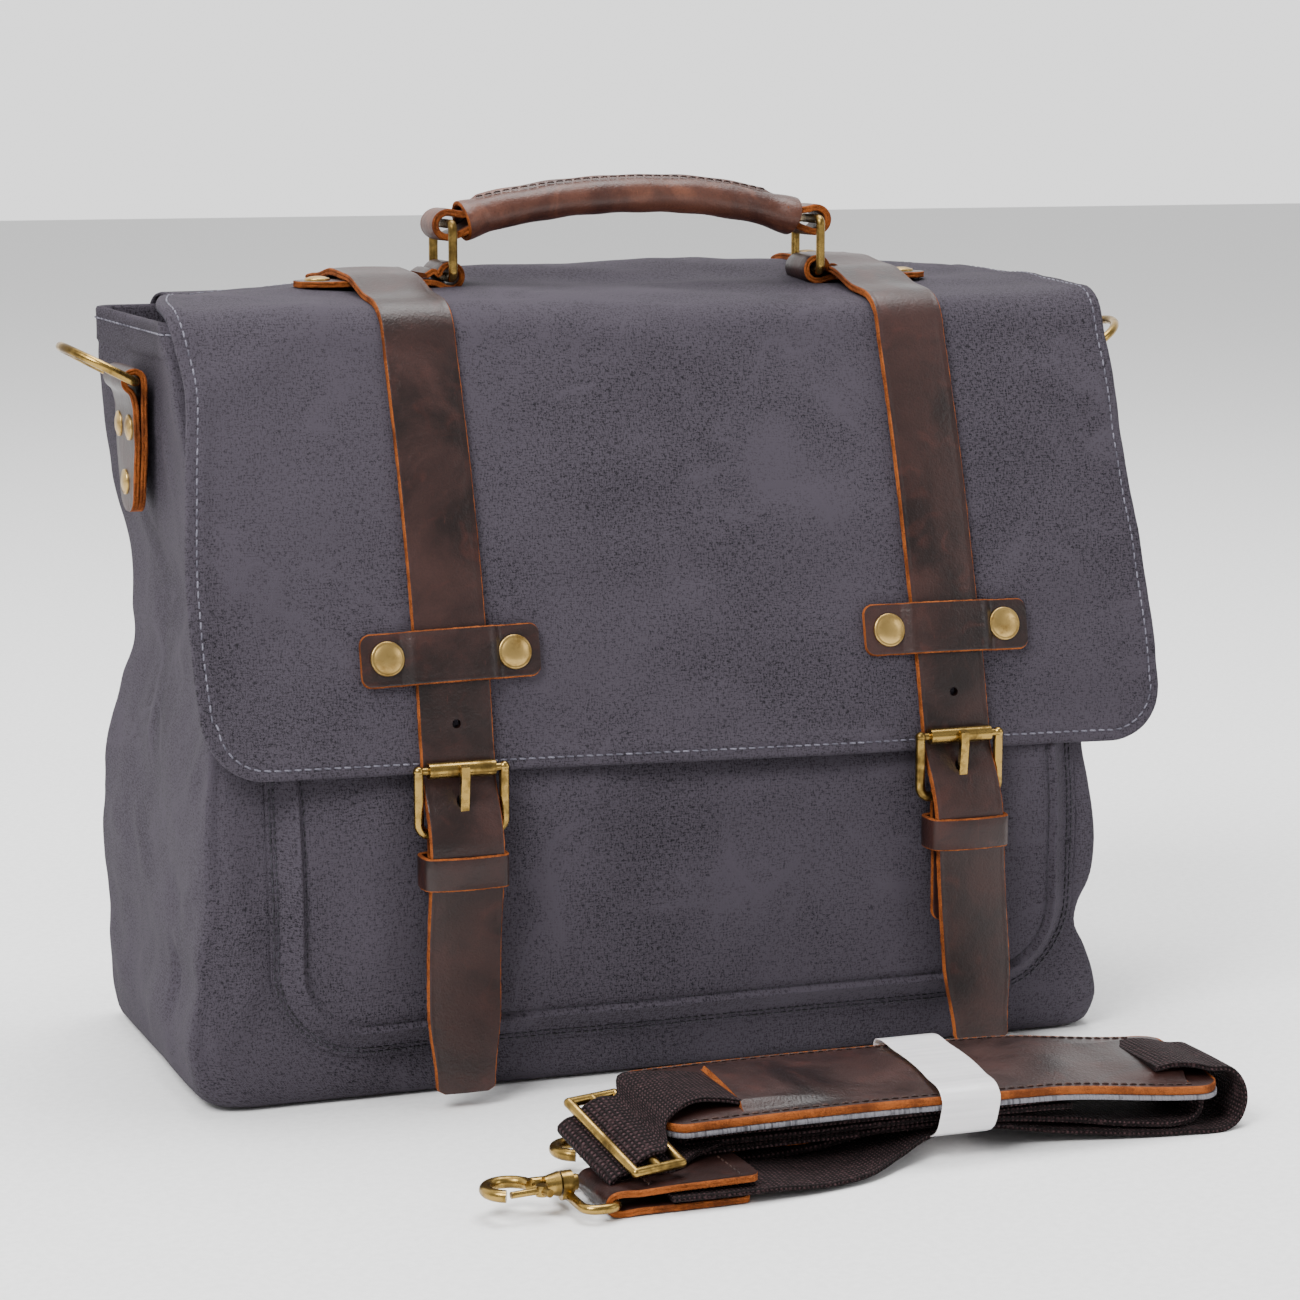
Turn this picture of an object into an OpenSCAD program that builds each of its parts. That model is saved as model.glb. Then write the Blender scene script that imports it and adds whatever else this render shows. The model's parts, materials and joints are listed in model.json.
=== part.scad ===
// Flap-over messenger bag: waxed canvas body, leather straps, brass hardware,
// with its detachable shoulder strap folded in a hank on the floor in front.
// Millimetres, +Z up, -Y is the front, origin at the middle of the bag's bottom.

/* [Bag body] */
// Width of the body across the gussets
body_w = 410; // [390:5:430]
// Depth of the bottom, front to back
body_d = 172; // [168:1:176]
// Height of the rim above the floor
body_h = 306; // [302:1:310]
// Depth of the mouth at the rim
mouth_d = 121; // [119:1:123]
// How far the front belly stands beyond the bottom's front edge
belly = 22; // [18:1:24]
// Thickness of the outer canvas
canvas_t = 2; // [1.6:0.1:2.2]
// Thickness of the lining
lining_t = 1; // [0.6:0.1:1.2]

/* [Front pocket] */
// Width of the patch pocket
pocket_w = 348; // [320:2:360]
// Height of the pocket's bottom seam
pocket_z0 = 22; // [18:1:28]
// Height of the pocket's mouth, under the flap
pocket_z1 = 210; // [190:1:220]
// How far the pocket stands off the front
pocket_d = 7; // [6:0.5:7]
// Radius of the pocket's bottom corners
pocket_r = 40; // [20:1:50]

/* [Flap] */
// Width of the flap
flap_w = 412; // [400:2:430]
// Height of the flap's lower edge
flap_z0 = 128; // [126:0.5:130]
// Radius of the flap's lower corners
flap_r = 24; // [12:1:40]
// Thickness of the flap's outer layer
flap_t = 1.8; // [1.4:0.1:1.8]
// Thickness of the flap's facing
facing_t = 1; // [0.6:0.1:1]

/* [Straps and closures] */
// Distance between the two vertical straps
strap_gap = 214; // [200:2:230]
// Width of the vertical straps
strap_w = 30; // [26:1:30]
// Thickness of the strap leather
strap_t = 3; // [2.4:0.1:3]
// Height of the keeper band's middle
keeper_z = 177; // [174:0.5:180]
// Height of the roller's axis
roller_z = 135; // [134:0.5:136]
// Height of the buckle's heel bar
heel_z = 110; // [109:0.5:111]
// Height of the strap's free end
tail_z = 5; // [3:1:20]
// Diameter of the keeper's rivet caps
rivet_d = 13.6; // [12:0.2:15]

/* [Handle] */
// Distance between the two handle rings
ring_gap = 164; // [150:2:170]
// Sideways place of the handle's middle
handle_x = 5; // [0:1:6]
// Depth place of the handle
handle_y = 12; // [10:1:16]
// Thickness of the padded grip
grip_d = 15; // [13:0.5:16]
// Rise of the grip's arch
grip_rise = 10; // [6:1:14]

/* [Shoulder strap] */
// Width of the shoulder webbing
web_w = 38; // [36:1:40]
// Thickness of the shoulder webbing
web_t = 2.2; // [1.8:0.1:2.4]
// Length of the shoulder pad
pad_l = 220; // [190:2:222]
// Width of the shoulder pad
pad_w = 60; // [54:1:62]

/* [Hidden] */
$fn = 48;

canvas_col = "#3b3b42";
lining_col = "#6d6453";
leather_col = "#4a2c26";
grip_col = "#6a4434";
film_col = "#cfc6c6";
backing_col = "#8a8890";
brass_col = "#8a7440";
web_col = "#3a2b2c";

eps = 0.01;
gap = 0.3;
back_y = body_d / 2;
front_y0 = -body_d / 2;
rim_y = back_y - mouth_d;
belly_y = front_y0 - belly;
belly_z = 0.49 * body_h;
steps = 14;

// layers in front of the body's front panel, all measured along -Y
pocket_skin = 1.5;
flap_in = pocket_d + 1;
flap_mid = flap_in + facing_t;
flap_out = flap_mid + flap_t;
strap_in = flap_out + 0.2;
strap_out = strap_in + strap_t;

// top of the closed flap
top_edge_z = body_h + 2 + facing_t + flap_t + 0.2;
top_crown = 4;
ridge_y = rim_y - 1;
corner_z = body_h - 10;
ridge_axis_z = top_edge_z + strap_t + 0.8;

strap_x = strap_gap / 2;
tail_top_z = keeper_z - 15;

// closure stack, measured along -Y at the buckle
buckle_y = -104.5;
wire_r = 2;
leather_t = 2;

// handle rings
bar_r = 1.9;
tab_t = 2.5;
tab_w = 22;
ring_z0 = top_edge_z + top_crown + 5;
ring_h = 22;
ring_half_w = 13.9;
ring_z1 = ring_z0 + ring_h;
tab_end_x = 141;

// side tabs and rings
side_y = 18;
side_z = 281;
side_out = 5.4;
side_half_w = 18;
d_half_w = 20.9;
d_leg = 8;
d_tilt = 28;

// small rivets on the side tabs and handle tabs
small_rivet_d = 10.5;
small_rivet_h = 1.6;

// shoulder strap hank
hank_y = -210;
hook_y = [-245, -207.5];
hook_x = [-114, -75];
hook_z = 10;

function lerp(a, b, t) = a + (b - a) * t;
function flip(list) = [for (i = [len(list) - 1:-1:0]) list[i]];
function front_t(z) = (sqrt(belly_z * belly_z + (body_h - 2 * belly_z) * z) - belly_z) / (body_h - 2 * belly_z);
function front_mix(t) = (1 - t) * (1 - t) * front_y0 + 2 * t * (1 - t) * belly_y + t * t * rim_y;
function front_y(z) = front_mix(front_t(z));
function front_line(z0, z1, off) = [for (i = [0:steps]) let (z = lerp(z0, z1, i / steps)) [front_y(z) - off, z]];
function top_z(y) = top_edge_z + top_crown * (1 - pow((2 * y - back_y - ridge_y) / (back_y - ridge_y), 2));
function top_line(y0, y1, off) = [for (i = [0:steps]) let (y = lerp(y0, y1, i / steps)) [y, top_z(y) + off]];
function ridge_arc(off) = [for (i = [0:6]) let (a = 15 * i, in_y = ridge_y - 0.3)
  [in_y - (in_y + off - front_y(corner_z)) * sin(a), corner_z + (top_edge_z + off - flap_out - corner_z) * cos(a)]];
function arc(x, z, r, a0, a1) = [for (i = [0:8]) let (a = lerp(a0, a1, i / 8)) [x + r * cos(a), z + r * sin(a)]];
function normal_at(p, i) = let (q = p[min(i + 1, len(p) - 1)] - p[max(i - 1, 0)]) [-q[1], q[0]] / norm(q);
function ribbon(p, t) = concat(
  [for (i = [0:len(p) - 1]) p[i] + normal_at(p, i) * t / 2],
  flip([for (i = [0:len(p) - 1]) p[i] - normal_at(p, i) * t / 2]));

// a (y, z) outline drawn across the bag, w wide in X about x
module across(w, x = 0) {
  translate([x, 0, 0]) rotate([90, 0, 90]) linear_extrude(w, center = true) children();
}

// an (x, z) outline drawn front to back, from y0 to y1
module through(y0, y1) {
  translate([0, y1, 0]) rotate([90, 0, 0]) linear_extrude(y1 - y0) children();
}

module rounded(x0, x1, z0, z1, r) {
  translate([x0 + r, z0 + r]) circle(r);
  translate([x1 - r, z0 + r]) circle(r);
  translate([x0 + r, z0]) square([x1 - x0 - 2 * r, r + eps]);
  translate([x0, z0 + r]) square([x1 - x0, z1 - z0 - r]);
}

module front_band(z0, z1, off0, off1) {
  polygon(concat(front_line(z0, z1, off1), flip(front_line(z0, z1, off0))));
}

// side outline of the bag's inside, each wall moved in by t
module inside_outline(t, top) {
  polygon(concat(front_line(t, body_h, -t), [[rim_y + t, top], [back_y - t, top], [back_y - t, t]]));
}

module y_bar(x, y, z, r, l) {
  translate([x, y, z]) rotate([90, 0, 0]) cylinder(r = r, h = l, center = true);
}

module x_bar(x, y, z, r, l) {
  translate([x, y, z]) rotate([0, 90, 0]) cylinder(r = r, h = l, center = true);
}

// domed rivet cap that faces -Y
module rivet_cap(d, h) {
  rotate([90, 0, 0]) {
    cylinder(d = d, h = 0.7);
    intersection() {
      translate([0, 0, h - d * 0.9]) sphere(d * 0.9);
      cylinder(d = d - 0.8, h = h);
    }
  }
}

// quarter turn of wire about (x, y), starting at angle a
module quarter_wire(x, y, r, a, wire = bar_r) {
  translate([x, y, 0]) rotate([0, 0, a]) rotate_extrude(angle = 90) translate([r, 0]) circle(wire);
}

module on_side(s) {
  if (s > 0) children();
  else mirror([1, 0, 0]) children();
}

// ---- bag body ----

module back_panel() {
  color(canvas_col)
    translate([-body_w / 2 + canvas_t, back_y - canvas_t, 0])
      cube([body_w - 2 * canvas_t, canvas_t, body_h]);
}

module front_panel() {
  color(canvas_col) across(body_w - 2 * canvas_t) front_band(0, body_h, -canvas_t, 0);
}

module gusset(s) {
  color(canvas_col) across(canvas_t, s * (body_w - canvas_t) / 2) inside_outline(0, body_h);
}

module bottom_panel() {
  color(canvas_col)
    across(body_w - 2 * canvas_t)
      polygon(concat(front_line(0, canvas_t, -canvas_t - 0.05), [[back_y - canvas_t, canvas_t], [back_y - canvas_t, 0]]));
}

module lining() {
  skin = canvas_t + 0.1;
  color(lining_col) difference() {
    across(body_w - 2 * skin) inside_outline(skin, body_h);
    across(body_w - 2 * skin - 2 * lining_t) inside_outline(skin + lining_t, body_h + 5);
  }
}

floor_z = canvas_t + lining_t + 0.2;
board_t = 2.2;
inside_w = body_w - 2 * (canvas_t + lining_t + 0.2);

module base_board() {
  color("#8c8577")
    translate([-inside_w / 2 + 4, front_y0 + 8, floor_z])
      cube([inside_w - 8, body_d - 18, board_t]);
}

divider_y = back_y - 27;
divider_t = 6;

module laptop_divider() {
  color(lining_col)
    translate([-inside_w / 2, divider_y, floor_z + board_t + 0.1])
      cube([inside_w, divider_t, 250]);
}

module inner_pocket() {
  color(lining_col) translate([-95, divider_y - 1.2, 110]) cube([190, 1.2, 125]);
}

module pocket_outline(inset) {
  rounded(-pocket_w / 2 + inset, pocket_w / 2 - inset, pocket_z0 + inset, pocket_z1, pocket_r - inset);
}

module pocket_front() {
  color(canvas_col) intersection() {
    across(pocket_w + 10) front_band(pocket_z0 - 2, pocket_z1, pocket_d - pocket_skin, pocket_d);
    through(-130, 0) pocket_outline(0);
  }
}

module pocket_gusset() {
  color(canvas_col) intersection() {
    across(pocket_w + 10) front_band(pocket_z0 - 2, pocket_z1, 0.05, pocket_d - pocket_skin - 0.05);
    through(-130, 0) difference() {
      pocket_outline(0);
      translate([0, eps]) pocket_outline(pocket_skin);
    }
  }
}

snap_z = 69;
snap_d = 18;

module snap_sockets() {
  color(brass_col) for (s = [-1, 1])
    y_bar(s * strap_x, front_y(snap_z) - pocket_d - 1.3, snap_z, snap_d / 2, 2);
}

module side_tab(s) {
  shoulder_h = 28;
  taper_h = 17;
  toe_h = 42;
  toe_r = 12.4;
  toe_half = 12;
  color(leather_col) on_side(s) difference() {
    union() {
      translate([body_w / 2 + 0.2, 0, 0]) rotate([90, 0, 90]) linear_extrude(5) {
        translate([side_y - side_half_w, side_z - shoulder_h]) square([2 * side_half_w, shoulder_h]);
        translate([side_y, side_z - shoulder_h])
          polygon([[-side_half_w, 0], [-toe_half, -taper_h], [toe_half, -taper_h], [side_half_w, 0]]);
        translate([side_y, side_z - toe_h]) circle(toe_r);
      }
      y_bar(body_w / 2 + side_out, side_y, side_z, 5.2, 2 * side_half_w);
    }
    y_bar(body_w / 2 + side_out, side_y, side_z, bar_r + 0.1, 2 * side_half_w + 2);
  }
}

module side_rivets() {
  color(brass_col) for (s = [-1, 1]) on_side(s)
    for (p = [[-9.5, -19], [9.5, -19], [0, -42]])
      translate([body_w / 2 + 5.25, side_y + p[0], side_z + p[1]]) rotate([0, 0, 90])
        rivet_cap(small_rivet_d, small_rivet_h);
}

module back_yoke() {
  color(canvas_col)
    translate([-flap_w / 2, back_y + 0.05, body_h - 34]) cube([flap_w, 1.4, 34]);
}

// ---- flap, upper half ----

module flap_top() {
  color(canvas_col) across(flap_w)
    polygon(concat(top_line(back_y - gap, ridge_y + gap, -facing_t - flap_t), flip(top_line(back_y - gap, ridge_y + gap, 0))));
}

rest = 0.35;
lift = tab_t + 1.1;
strap_back_y = back_y - 16;

module strap_top(s) {
  y_hi = handle_y + tab_w / 2 + 2;
  y_lo = handle_y - tab_w / 2 - 2;
  path = concat(
    [for (i = [0:4]) [lerp(strap_back_y, y_hi + 9, i / 4), rest]], [[y_hi, lift], [y_lo, lift]],
    [for (i = [0:6]) [lerp(y_lo - 9, ridge_y + gap, i / 6), rest]]);
  color(leather_col) across(strap_w, s * strap_x)
    polygon(concat([for (p = path) [p[0], top_z(p[0]) + p[1]]],
                   flip([for (p = path) [p[0], top_z(p[0]) + p[1] + strap_t]])));
}

module handle_tabs() {
  tab_z = top_edge_z + top_crown + 0.1;
  color(leather_col) for (s = [-1, 1]) difference() {
    union() {
      translate([0, 0, tab_z]) linear_extrude(tab_t) {
        translate([s * (tab_end_x - tab_w / 2), handle_y]) circle(tab_w / 2);
        translate([s > 0 ? handle_x + ring_gap / 2 : -tab_end_x + tab_w / 2, handle_y - tab_w / 2])
          square([tab_end_x - tab_w / 2 - ring_gap / 2 - s * handle_x, tab_w]);
      }
      y_bar(handle_x + s * ring_gap / 2, handle_y, ring_z0, 4.8, tab_w);
    }
    y_bar(handle_x + s * ring_gap / 2, handle_y, ring_z0, bar_r + 0.1, tab_w + 2);
  }
}

module handle_tab_rivets() {
  color(brass_col) for (s = [-1, 1])
    translate([s * (tab_end_x - 10), handle_y, top_edge_z + top_crown + tab_t + 0.15])
      rotate([-90, 0, 0]) rivet_cap(small_rivet_d, small_rivet_h);
}

// ---- flap, front half ----

module flap_sheet(off0, off1, inset) {
  intersection() {
    across(flap_w - 2 * inset)
      polygon(concat(ridge_arc(off1), front_line(corner_z, flap_z0 - 5, off1),
                     flip(front_line(corner_z, flap_z0 - 5, off0)), flip(ridge_arc(off0))));
    through(-140, 0)
      rounded(-flap_w / 2 + inset, flap_w / 2 - inset, flap_z0 + inset, body_h + 20, flap_r);
  }
}

module flap_front() {
  color(canvas_col) flap_sheet(flap_mid + 0.02, flap_out, 0);
}

module flap_facing() {
  color(lining_col) flap_sheet(flap_in, flap_mid, 1);
}

module strap_front(s) {
  color(leather_col) across(strap_w, s * strap_x)
    polygon(concat(ridge_arc(strap_out), front_line(corner_z, tail_top_z, strap_out),
                   flip(front_line(corner_z, tail_top_z, strap_in)), flip(ridge_arc(strap_in))));
}

keeper_w = 71;
keeper_h = 21;
keeper_t = 2.2;
keeper_lean = atan((front_y(keeper_z + 10) - front_y(keeper_z - 10)) / 20);

module at_keeper(s) {
  translate([s * strap_x, front_y(keeper_z) - flap_out - 0.5, keeper_z]) rotate([-keeper_lean, 0, 0]) children();
}

module keeper(s) {
  rise = strap_t + 0.2;
  half = strap_w / 2 + 0.6;
  color(leather_col) at_keeper(s) translate([0, 0, -keeper_h / 2]) linear_extrude(keeper_h)
    polygon([[-keeper_w / 2, 0], [-half - 1.4, 0], [-half, -rise], [half, -rise], [half + 1.4, 0], [keeper_w / 2, 0],
             [keeper_w / 2, -keeper_t], [half + 2.6, -keeper_t], [half + 1, -rise - keeper_t],
             [-half - 1, -rise - keeper_t], [-half - 2.6, -keeper_t], [-keeper_w / 2, -keeper_t]]);
}

module keeper_rivets() {
  color(brass_col) for (s = [-1, 1]) at_keeper(s)
    for (x = [-1, 1]) translate([x * 26, -keeper_t - 0.05, 0]) rivet_cap(rivet_d, 2.6);
}

// ---- closures: strap tail, roller buckle, chape, loop and magnetic snap ----

tail_path = [
  [front_y(tail_top_z) - strap_in - strap_t / 2, tail_top_z - gap],
  [front_y(142) - strap_in - strap_t / 2 - 0.1, 142],
  [buckle_y + 4.9, roller_z],
  [buckle_y + 4.1, roller_z - 4],
  [buckle_y - 5.9, heel_z + 1.5],
  [buckle_y - 6, heel_z - 10],
  [buckle_y - 5.8, heel_z - 22],
  [buckle_y - 2.6, 50],
  [buckle_y, tail_z]
];

module strap_tail(s) {
  color(leather_col) difference() {
    intersection() {
      across(strap_w, s * strap_x) polygon(ribbon(tail_path, strap_t));
      through(-130, 0) polygon([
        [s * strap_x - strap_w / 2, tail_top_z], [s * strap_x - strap_w / 2, heel_z - 22],
        [s * strap_x - 12, tail_z + 8], [s * strap_x - 8, tail_z + 2], [s * strap_x, tail_z],
        [s * strap_x + 8, tail_z + 2], [s * strap_x + 12, tail_z + 8],
        [s * strap_x + strap_w / 2, heel_z - 22], [s * strap_x + strap_w / 2, tail_top_z]]);
    }
    translate([s * strap_x - 2.6, -120, heel_z + 1.5]) cube([5.2, 30, 16]);
    y_bar(s * strap_x, -100, 151, 1.8, 30);
  }
}

module chape(s) {
  half = strap_w / 2 - 2;
  wrap_r = wire_r + 0.1 + leather_t;
  front_end_z = heel_z - 20;
  thin_z = heel_z - 32;
  back_end_z = snap_z - 12;
  color(leather_col) difference() {
    union() {
      x_bar(s * strap_x, buckle_y, heel_z, wrap_r, 2 * half);
      across(2 * half, s * strap_x) polygon([
        [buckle_y - wrap_r, heel_z], [buckle_y - wrap_r, front_end_z], [buckle_y + wire_r + 0.1, front_end_z],
        [buckle_y + 0.4, thin_z], [buckle_y + 0.4, back_end_z], [buckle_y + leather_t + 0.4, back_end_z],
        [buckle_y + leather_t + 0.4, thin_z], [buckle_y + wrap_r, heel_z - 22], [buckle_y + wrap_r, heel_z]]);
    }
    x_bar(s * strap_x, buckle_y, heel_z, wire_r + 0.1, strap_w);
    translate([s * strap_x - 2.7, buckle_y - 10, heel_z - 5]) cube([5.4, 20, 15]);
  }
}

module keeper_loop(s) {
  loop_h = 13;
  out_y = buckle_y - 9.9;
  in_y = buckle_y + 5.8;
  color(leather_col) translate([s * strap_x, 0, heel_z - 21]) linear_extrude(loop_h) difference() {
    translate([-strap_w / 2 - 2.3, out_y]) square([strap_w + 4.6, in_y - out_y]);
    translate([-strap_w / 2 - 0.4, out_y + leather_t + 0.1]) square([strap_w + 0.8, in_y - out_y - leather_t - 1.6]);
  }
}

buckle_half = 17.5;
corner_r = 4.4;

module buckle_frame(s) {
  color(brass_col) translate([s * strap_x, buckle_y, 0]) {
    x_bar(0, 0, roller_z, 1.6, 2 * buckle_half);
    x_bar(0, 0, heel_z, wire_r, 2 * (buckle_half - corner_r));
    for (m = [-1, 1]) {
      translate([m * buckle_half, 0, roller_z]) sphere(wire_r + 0.2);
      translate([m * buckle_half, 0, heel_z + corner_r]) cylinder(r = wire_r, h = roller_z - heel_z - corner_r);
      translate([m * (buckle_half - corner_r), 0, heel_z + corner_r]) rotate([90, 0, 0])
        rotate([0, 0, m > 0 ? -90 : 180]) rotate_extrude(angle = 90) translate([corner_r, 0]) circle(wire_r);
    }
  }
}

module roller(s) {
  color(brass_col) translate([s * strap_x, buckle_y, roller_z]) rotate([0, 90, 0]) difference() {
    cylinder(r = 3.2, h = 27, center = true);
    cylinder(r = 1.68, h = 30, center = true);
  }
}

module tongue(s) {
  tip_y = buckle_y - 3.4;
  color(brass_col) difference() {
    union() {
      x_bar(s * strap_x, buckle_y, heel_z, 3.4, 4);
      across(3.4, s * strap_x) polygon([
        [buckle_y - 1, heel_z + 1.8], [tip_y, roller_z - 4], [tip_y, roller_z + 2.5],
        [tip_y - 2.4, roller_z + 1.6], [tip_y - 2.6, roller_z - 3], [buckle_y - 3.3, heel_z + 0.4]]);
    }
    x_bar(s * strap_x, buckle_y, heel_z, wire_r + 0.08, 8);
  }
}

module snap_plunger(s) {
  color(brass_col) y_bar(s * strap_x, buckle_y + 3.1, snap_z, snap_d / 2, 1.3);
}

// ---- rings and handle ----

module d_ring(s) {
  rc = 2.6;
  color(brass_col) on_side(s) translate([body_w / 2 + side_out, side_y, side_z]) rotate([0, -d_tilt, 0]) {
    y_bar(0, 0, 0, bar_r, 2 * (d_half_w - rc));
    for (m = [0, 1]) mirror([0, m, 0]) {
      quarter_wire(rc, d_half_w - rc, rc, 90);
      translate([rc, d_half_w, 0]) rotate([0, 90, 0]) cylinder(r = bar_r, h = d_leg - rc);
      quarter_wire(d_leg, 0, d_half_w, 0);
    }
  }
}

module handle_ring(s) {
  rc = 2.5;
  color(brass_col) translate([handle_x + s * ring_gap / 2, handle_y, 0]) {
    for (z = [ring_z0, ring_z1]) y_bar(0, 0, z, bar_r, 2 * (ring_half_w - rc));
    for (m = [-1, 1]) {
      translate([0, m * ring_half_w, ring_z0 + rc]) cylinder(r = bar_r, h = ring_h - 2 * rc);
      for (k = [0, 1]) translate([0, m * (ring_half_w - rc), k == 0 ? ring_z0 + rc : ring_z1 - rc])
        rotate([90, 0, 90]) rotate([0, 0, (m > 0 ? 0 : 90) + (k == 0 ? (m > 0 ? -90 : 90) : 0)])
          rotate_extrude(angle = 90) translate([rc, 0]) circle(bar_r);
    }
  }
}

grip_half = ring_gap / 2 - 10;
grip_arc_r = (grip_half * grip_half + grip_rise * grip_rise) / (2 * grip_rise);
grip_half_a = asin(grip_half / grip_arc_r);

module handle_grip() {
  color(grip_col) translate([handle_x, handle_y, ring_z1 + 0.5 - grip_arc_r + grip_rise])
    rotate([90, 0, 0]) rotate([0, 0, 90 - grip_half_a])
      rotate_extrude(angle = 2 * grip_half_a, $fn = 96) translate([grip_arc_r, 0]) circle(d = grip_d);
}

module handle_end_loops() {
  color(grip_col) for (s = [-1, 1])
    translate([handle_x + s * ring_gap / 2, 0, ring_z1]) through(handle_y - tab_w / 2, handle_y + tab_w / 2)
      difference() {
        union() {
          circle(8);
          translate([s > 0 ? -11 : 0, -7.5]) square([11, 15]);
        }
        circle(4.6);
      }
}

// ---- shoulder strap, folded in a hank ----

web_back = 3;

// four passes, pinched where the band goes round them
web_lines = [
  concat([[-12, 5.4], [6, 5], [22, 7], [35, 9.1], [48, 9.2], [62, 9], [90, 4.4], [115, 2], [140, 1.4]],
         arc(157, 12.6, 11.2, -90, 75)),
  concat([[-62, 11.3], [0, 11.4], [35, 11.65], [48, 11.75], [64, 11.6], [95, 7.9], [120, 5], [140, 4.5]],
         arc(146, 10.6, 6.1, -90, 90), [[110, 16.7], [48, 16.85], [0, 16.6], [-60, 16.7]]),
  [[-62, 13.9], [0, 13.95], [48, 14.3], [64, 14.2], [84, 13.7]],
  [[-70, 30.6], [-60, 31.7], [-50, 31.4], [-40, 30.4], [-34, 29.9]]
];

module shoulder_webbing() {
  color(web_col) translate([0, hank_y - web_back, 0])
    for (line = web_lines) through(-web_w / 2, web_w / 2) polygon(ribbon(line, web_t));
}

pad_x0 = -71.5;
pad_z0 = 19.4;
pad_tilt = 5.2;
pad_corner = 8;

module pad_sheet(z0, z1) {
  translate([pad_x0, hank_y - pad_w / 2, pad_z0]) rotate([pad_tilt, 0, 0]) translate([0, 0, z0])
    linear_extrude(z1 - z0) translate([pad_l / 2, pad_w / 2]) {
      square([pad_l - 2 * pad_corner, pad_w], center = true);
      square([pad_l, pad_w - 2 * pad_corner], center = true);
      for (x = [-1, 1], y = [-1, 1])
        translate([x * (pad_l / 2 - pad_corner), y * (pad_w / 2 - pad_corner)]) circle(pad_corner);
    }
}

module shoulder_pad() {
  color(leather_col) pad_sheet(2.05, 4.4);
}

module pad_backing() {
  color(backing_col) pad_sheet(0, 2);
}

band_x = 37;
band_w = 24;
band_outside = [[-31.4, 18.5], [-31.4, 24.9], [31.2, 31], [31.6, 25], [18.5, 7], [-22.6, 7]];
band_inside = [[-30.8, 18.8], [-30.8, 24.4], [30.5, 30.3], [30.9, 25.2], [18.1, 7.6], [-22.2, 7.6]];

module hank_band() {
  color(film_col) translate([band_x, hank_y, 0]) rotate([90, 0, 90]) linear_extrude(band_w) difference() {
    polygon(band_outside);
    polygon(band_inside);
  }
}

// three bars and two ends, leaning as the arch of webbing holds it
slide_at = [-86.4, -234.5, 22.9];
slide_turn = [0.7, 19.6, -75.5];
slide_l = 46;
slide_half = 10;

module adjuster_slide() {
  color(brass_col) translate(slide_at) rotate(slide_turn) {
    for (y = [-slide_half, 0, slide_half]) x_bar(0, y, 0, bar_r, slide_l);
    for (x = [-slide_l / 2, slide_l / 2]) {
      y_bar(x, 0, 0, bar_r, 2 * slide_half);
      for (y = [-slide_half, slide_half]) translate([x, y, 0]) sphere(bar_r);
    }
  }
}

eye_r = 1.8;
eye_half = 18.4;
eye_corner = 5;
eye_near = 2.7;
eye_far = 15.5;
eye_z = 4.9;
end_tab_l = 44;
end_tab_half = 16.5;
end_tab_t = 3;

module end_tabs() {
  bend_l = 8;
  color(leather_col) for (i = [0, 1]) translate([hook_x[i] + eye_far, hook_y[i], 0]) difference() {
    union() {
      for (z = [0.1, 2 * eye_z - 0.1 - end_tab_t])
        translate([0, -end_tab_half, z]) cube([end_tab_l, 2 * end_tab_half, end_tab_t]);
      translate([0, -end_tab_half, 0.1]) cube([bend_l, 2 * end_tab_half, 2 * eye_z - 0.2]);
    }
    y_bar(-eps, 0, eye_z, eye_r + 0.8, 2 * end_tab_half + 4);
  }
}

swivel_r = 4.6;
swivel_l = 4.2;

module hook_eyes() {
  straight = 2 * (eye_half - eye_corner);
  color(brass_col) for (i = [0, 1]) translate([hook_x[i], hook_y[i], 0]) {
    translate([0, 0, eye_z]) {
      for (x = [eye_near, eye_far]) y_bar(x, 0, 0, eye_r, straight);
      for (m = [0, 1]) mirror([0, m, 0]) {
        quarter_wire(eye_far - eye_corner, straight / 2, eye_corner, 0, eye_r);
        quarter_wire(eye_near + eye_corner, straight / 2, eye_corner, 90, eye_r);
        translate([eye_near + eye_corner, eye_half, 0]) rotate([0, 90, 0])
          cylinder(r = eye_r, h = eye_far - eye_near - 2 * eye_corner);
      }
    }
    difference() {
      union() {
        x_bar(1.2, 0, (eye_z + hook_z) / 2, swivel_r - 1, swivel_l);
        x_bar(1.2, 0, hook_z, swivel_r, swivel_l);
      }
      x_bar(1.2, 0, hook_z, 2.1, swivel_l + 2);
    }
  }
}

hook_wire_r = 2.3;
hook_bow_r = 8.6;
gate_at = [-9.6, -5.4, 0];

// hook body, its pin along X at the origin, opening on the -Y side
module hook_body() {
  x_bar(1, 0, 0, 1.8, 9);
  x_bar(4.4, 0, 0, 3, 1.8);
  translate([-7, 0, 0]) rotate([0, 90, 0]) cylinder(r1 = 3.2, r2 = 4.6, h = 5.4);
  translate([-11, 3.4, 0]) rotate([0, 90, 0]) cylinder(r = hook_wire_r, h = 8);
  translate([-20, 0, 0]) rotate([0, 0, 8]) rotate_extrude(angle = 237)
    translate([hook_bow_r, 0]) circle(hook_wire_r);
}

module hook_gate_bar() {
  translate(gate_at) {
    cylinder(r = 2.2, h = 4, center = true);
    rotate([0, -90, 8]) cylinder(r = 1.3, h = 12.2);
    rotate([90, 0, 20]) cylinder(r = 1.5, h = 5);
  }
}

module hook(i) {
  color(brass_col) translate([hook_x[i], hook_y[i], hook_z]) hook_body();
}

module hook_gate(i) {
  color(brass_col) translate([hook_x[i], hook_y[i], hook_z]) hook_gate_bar();
}

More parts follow.
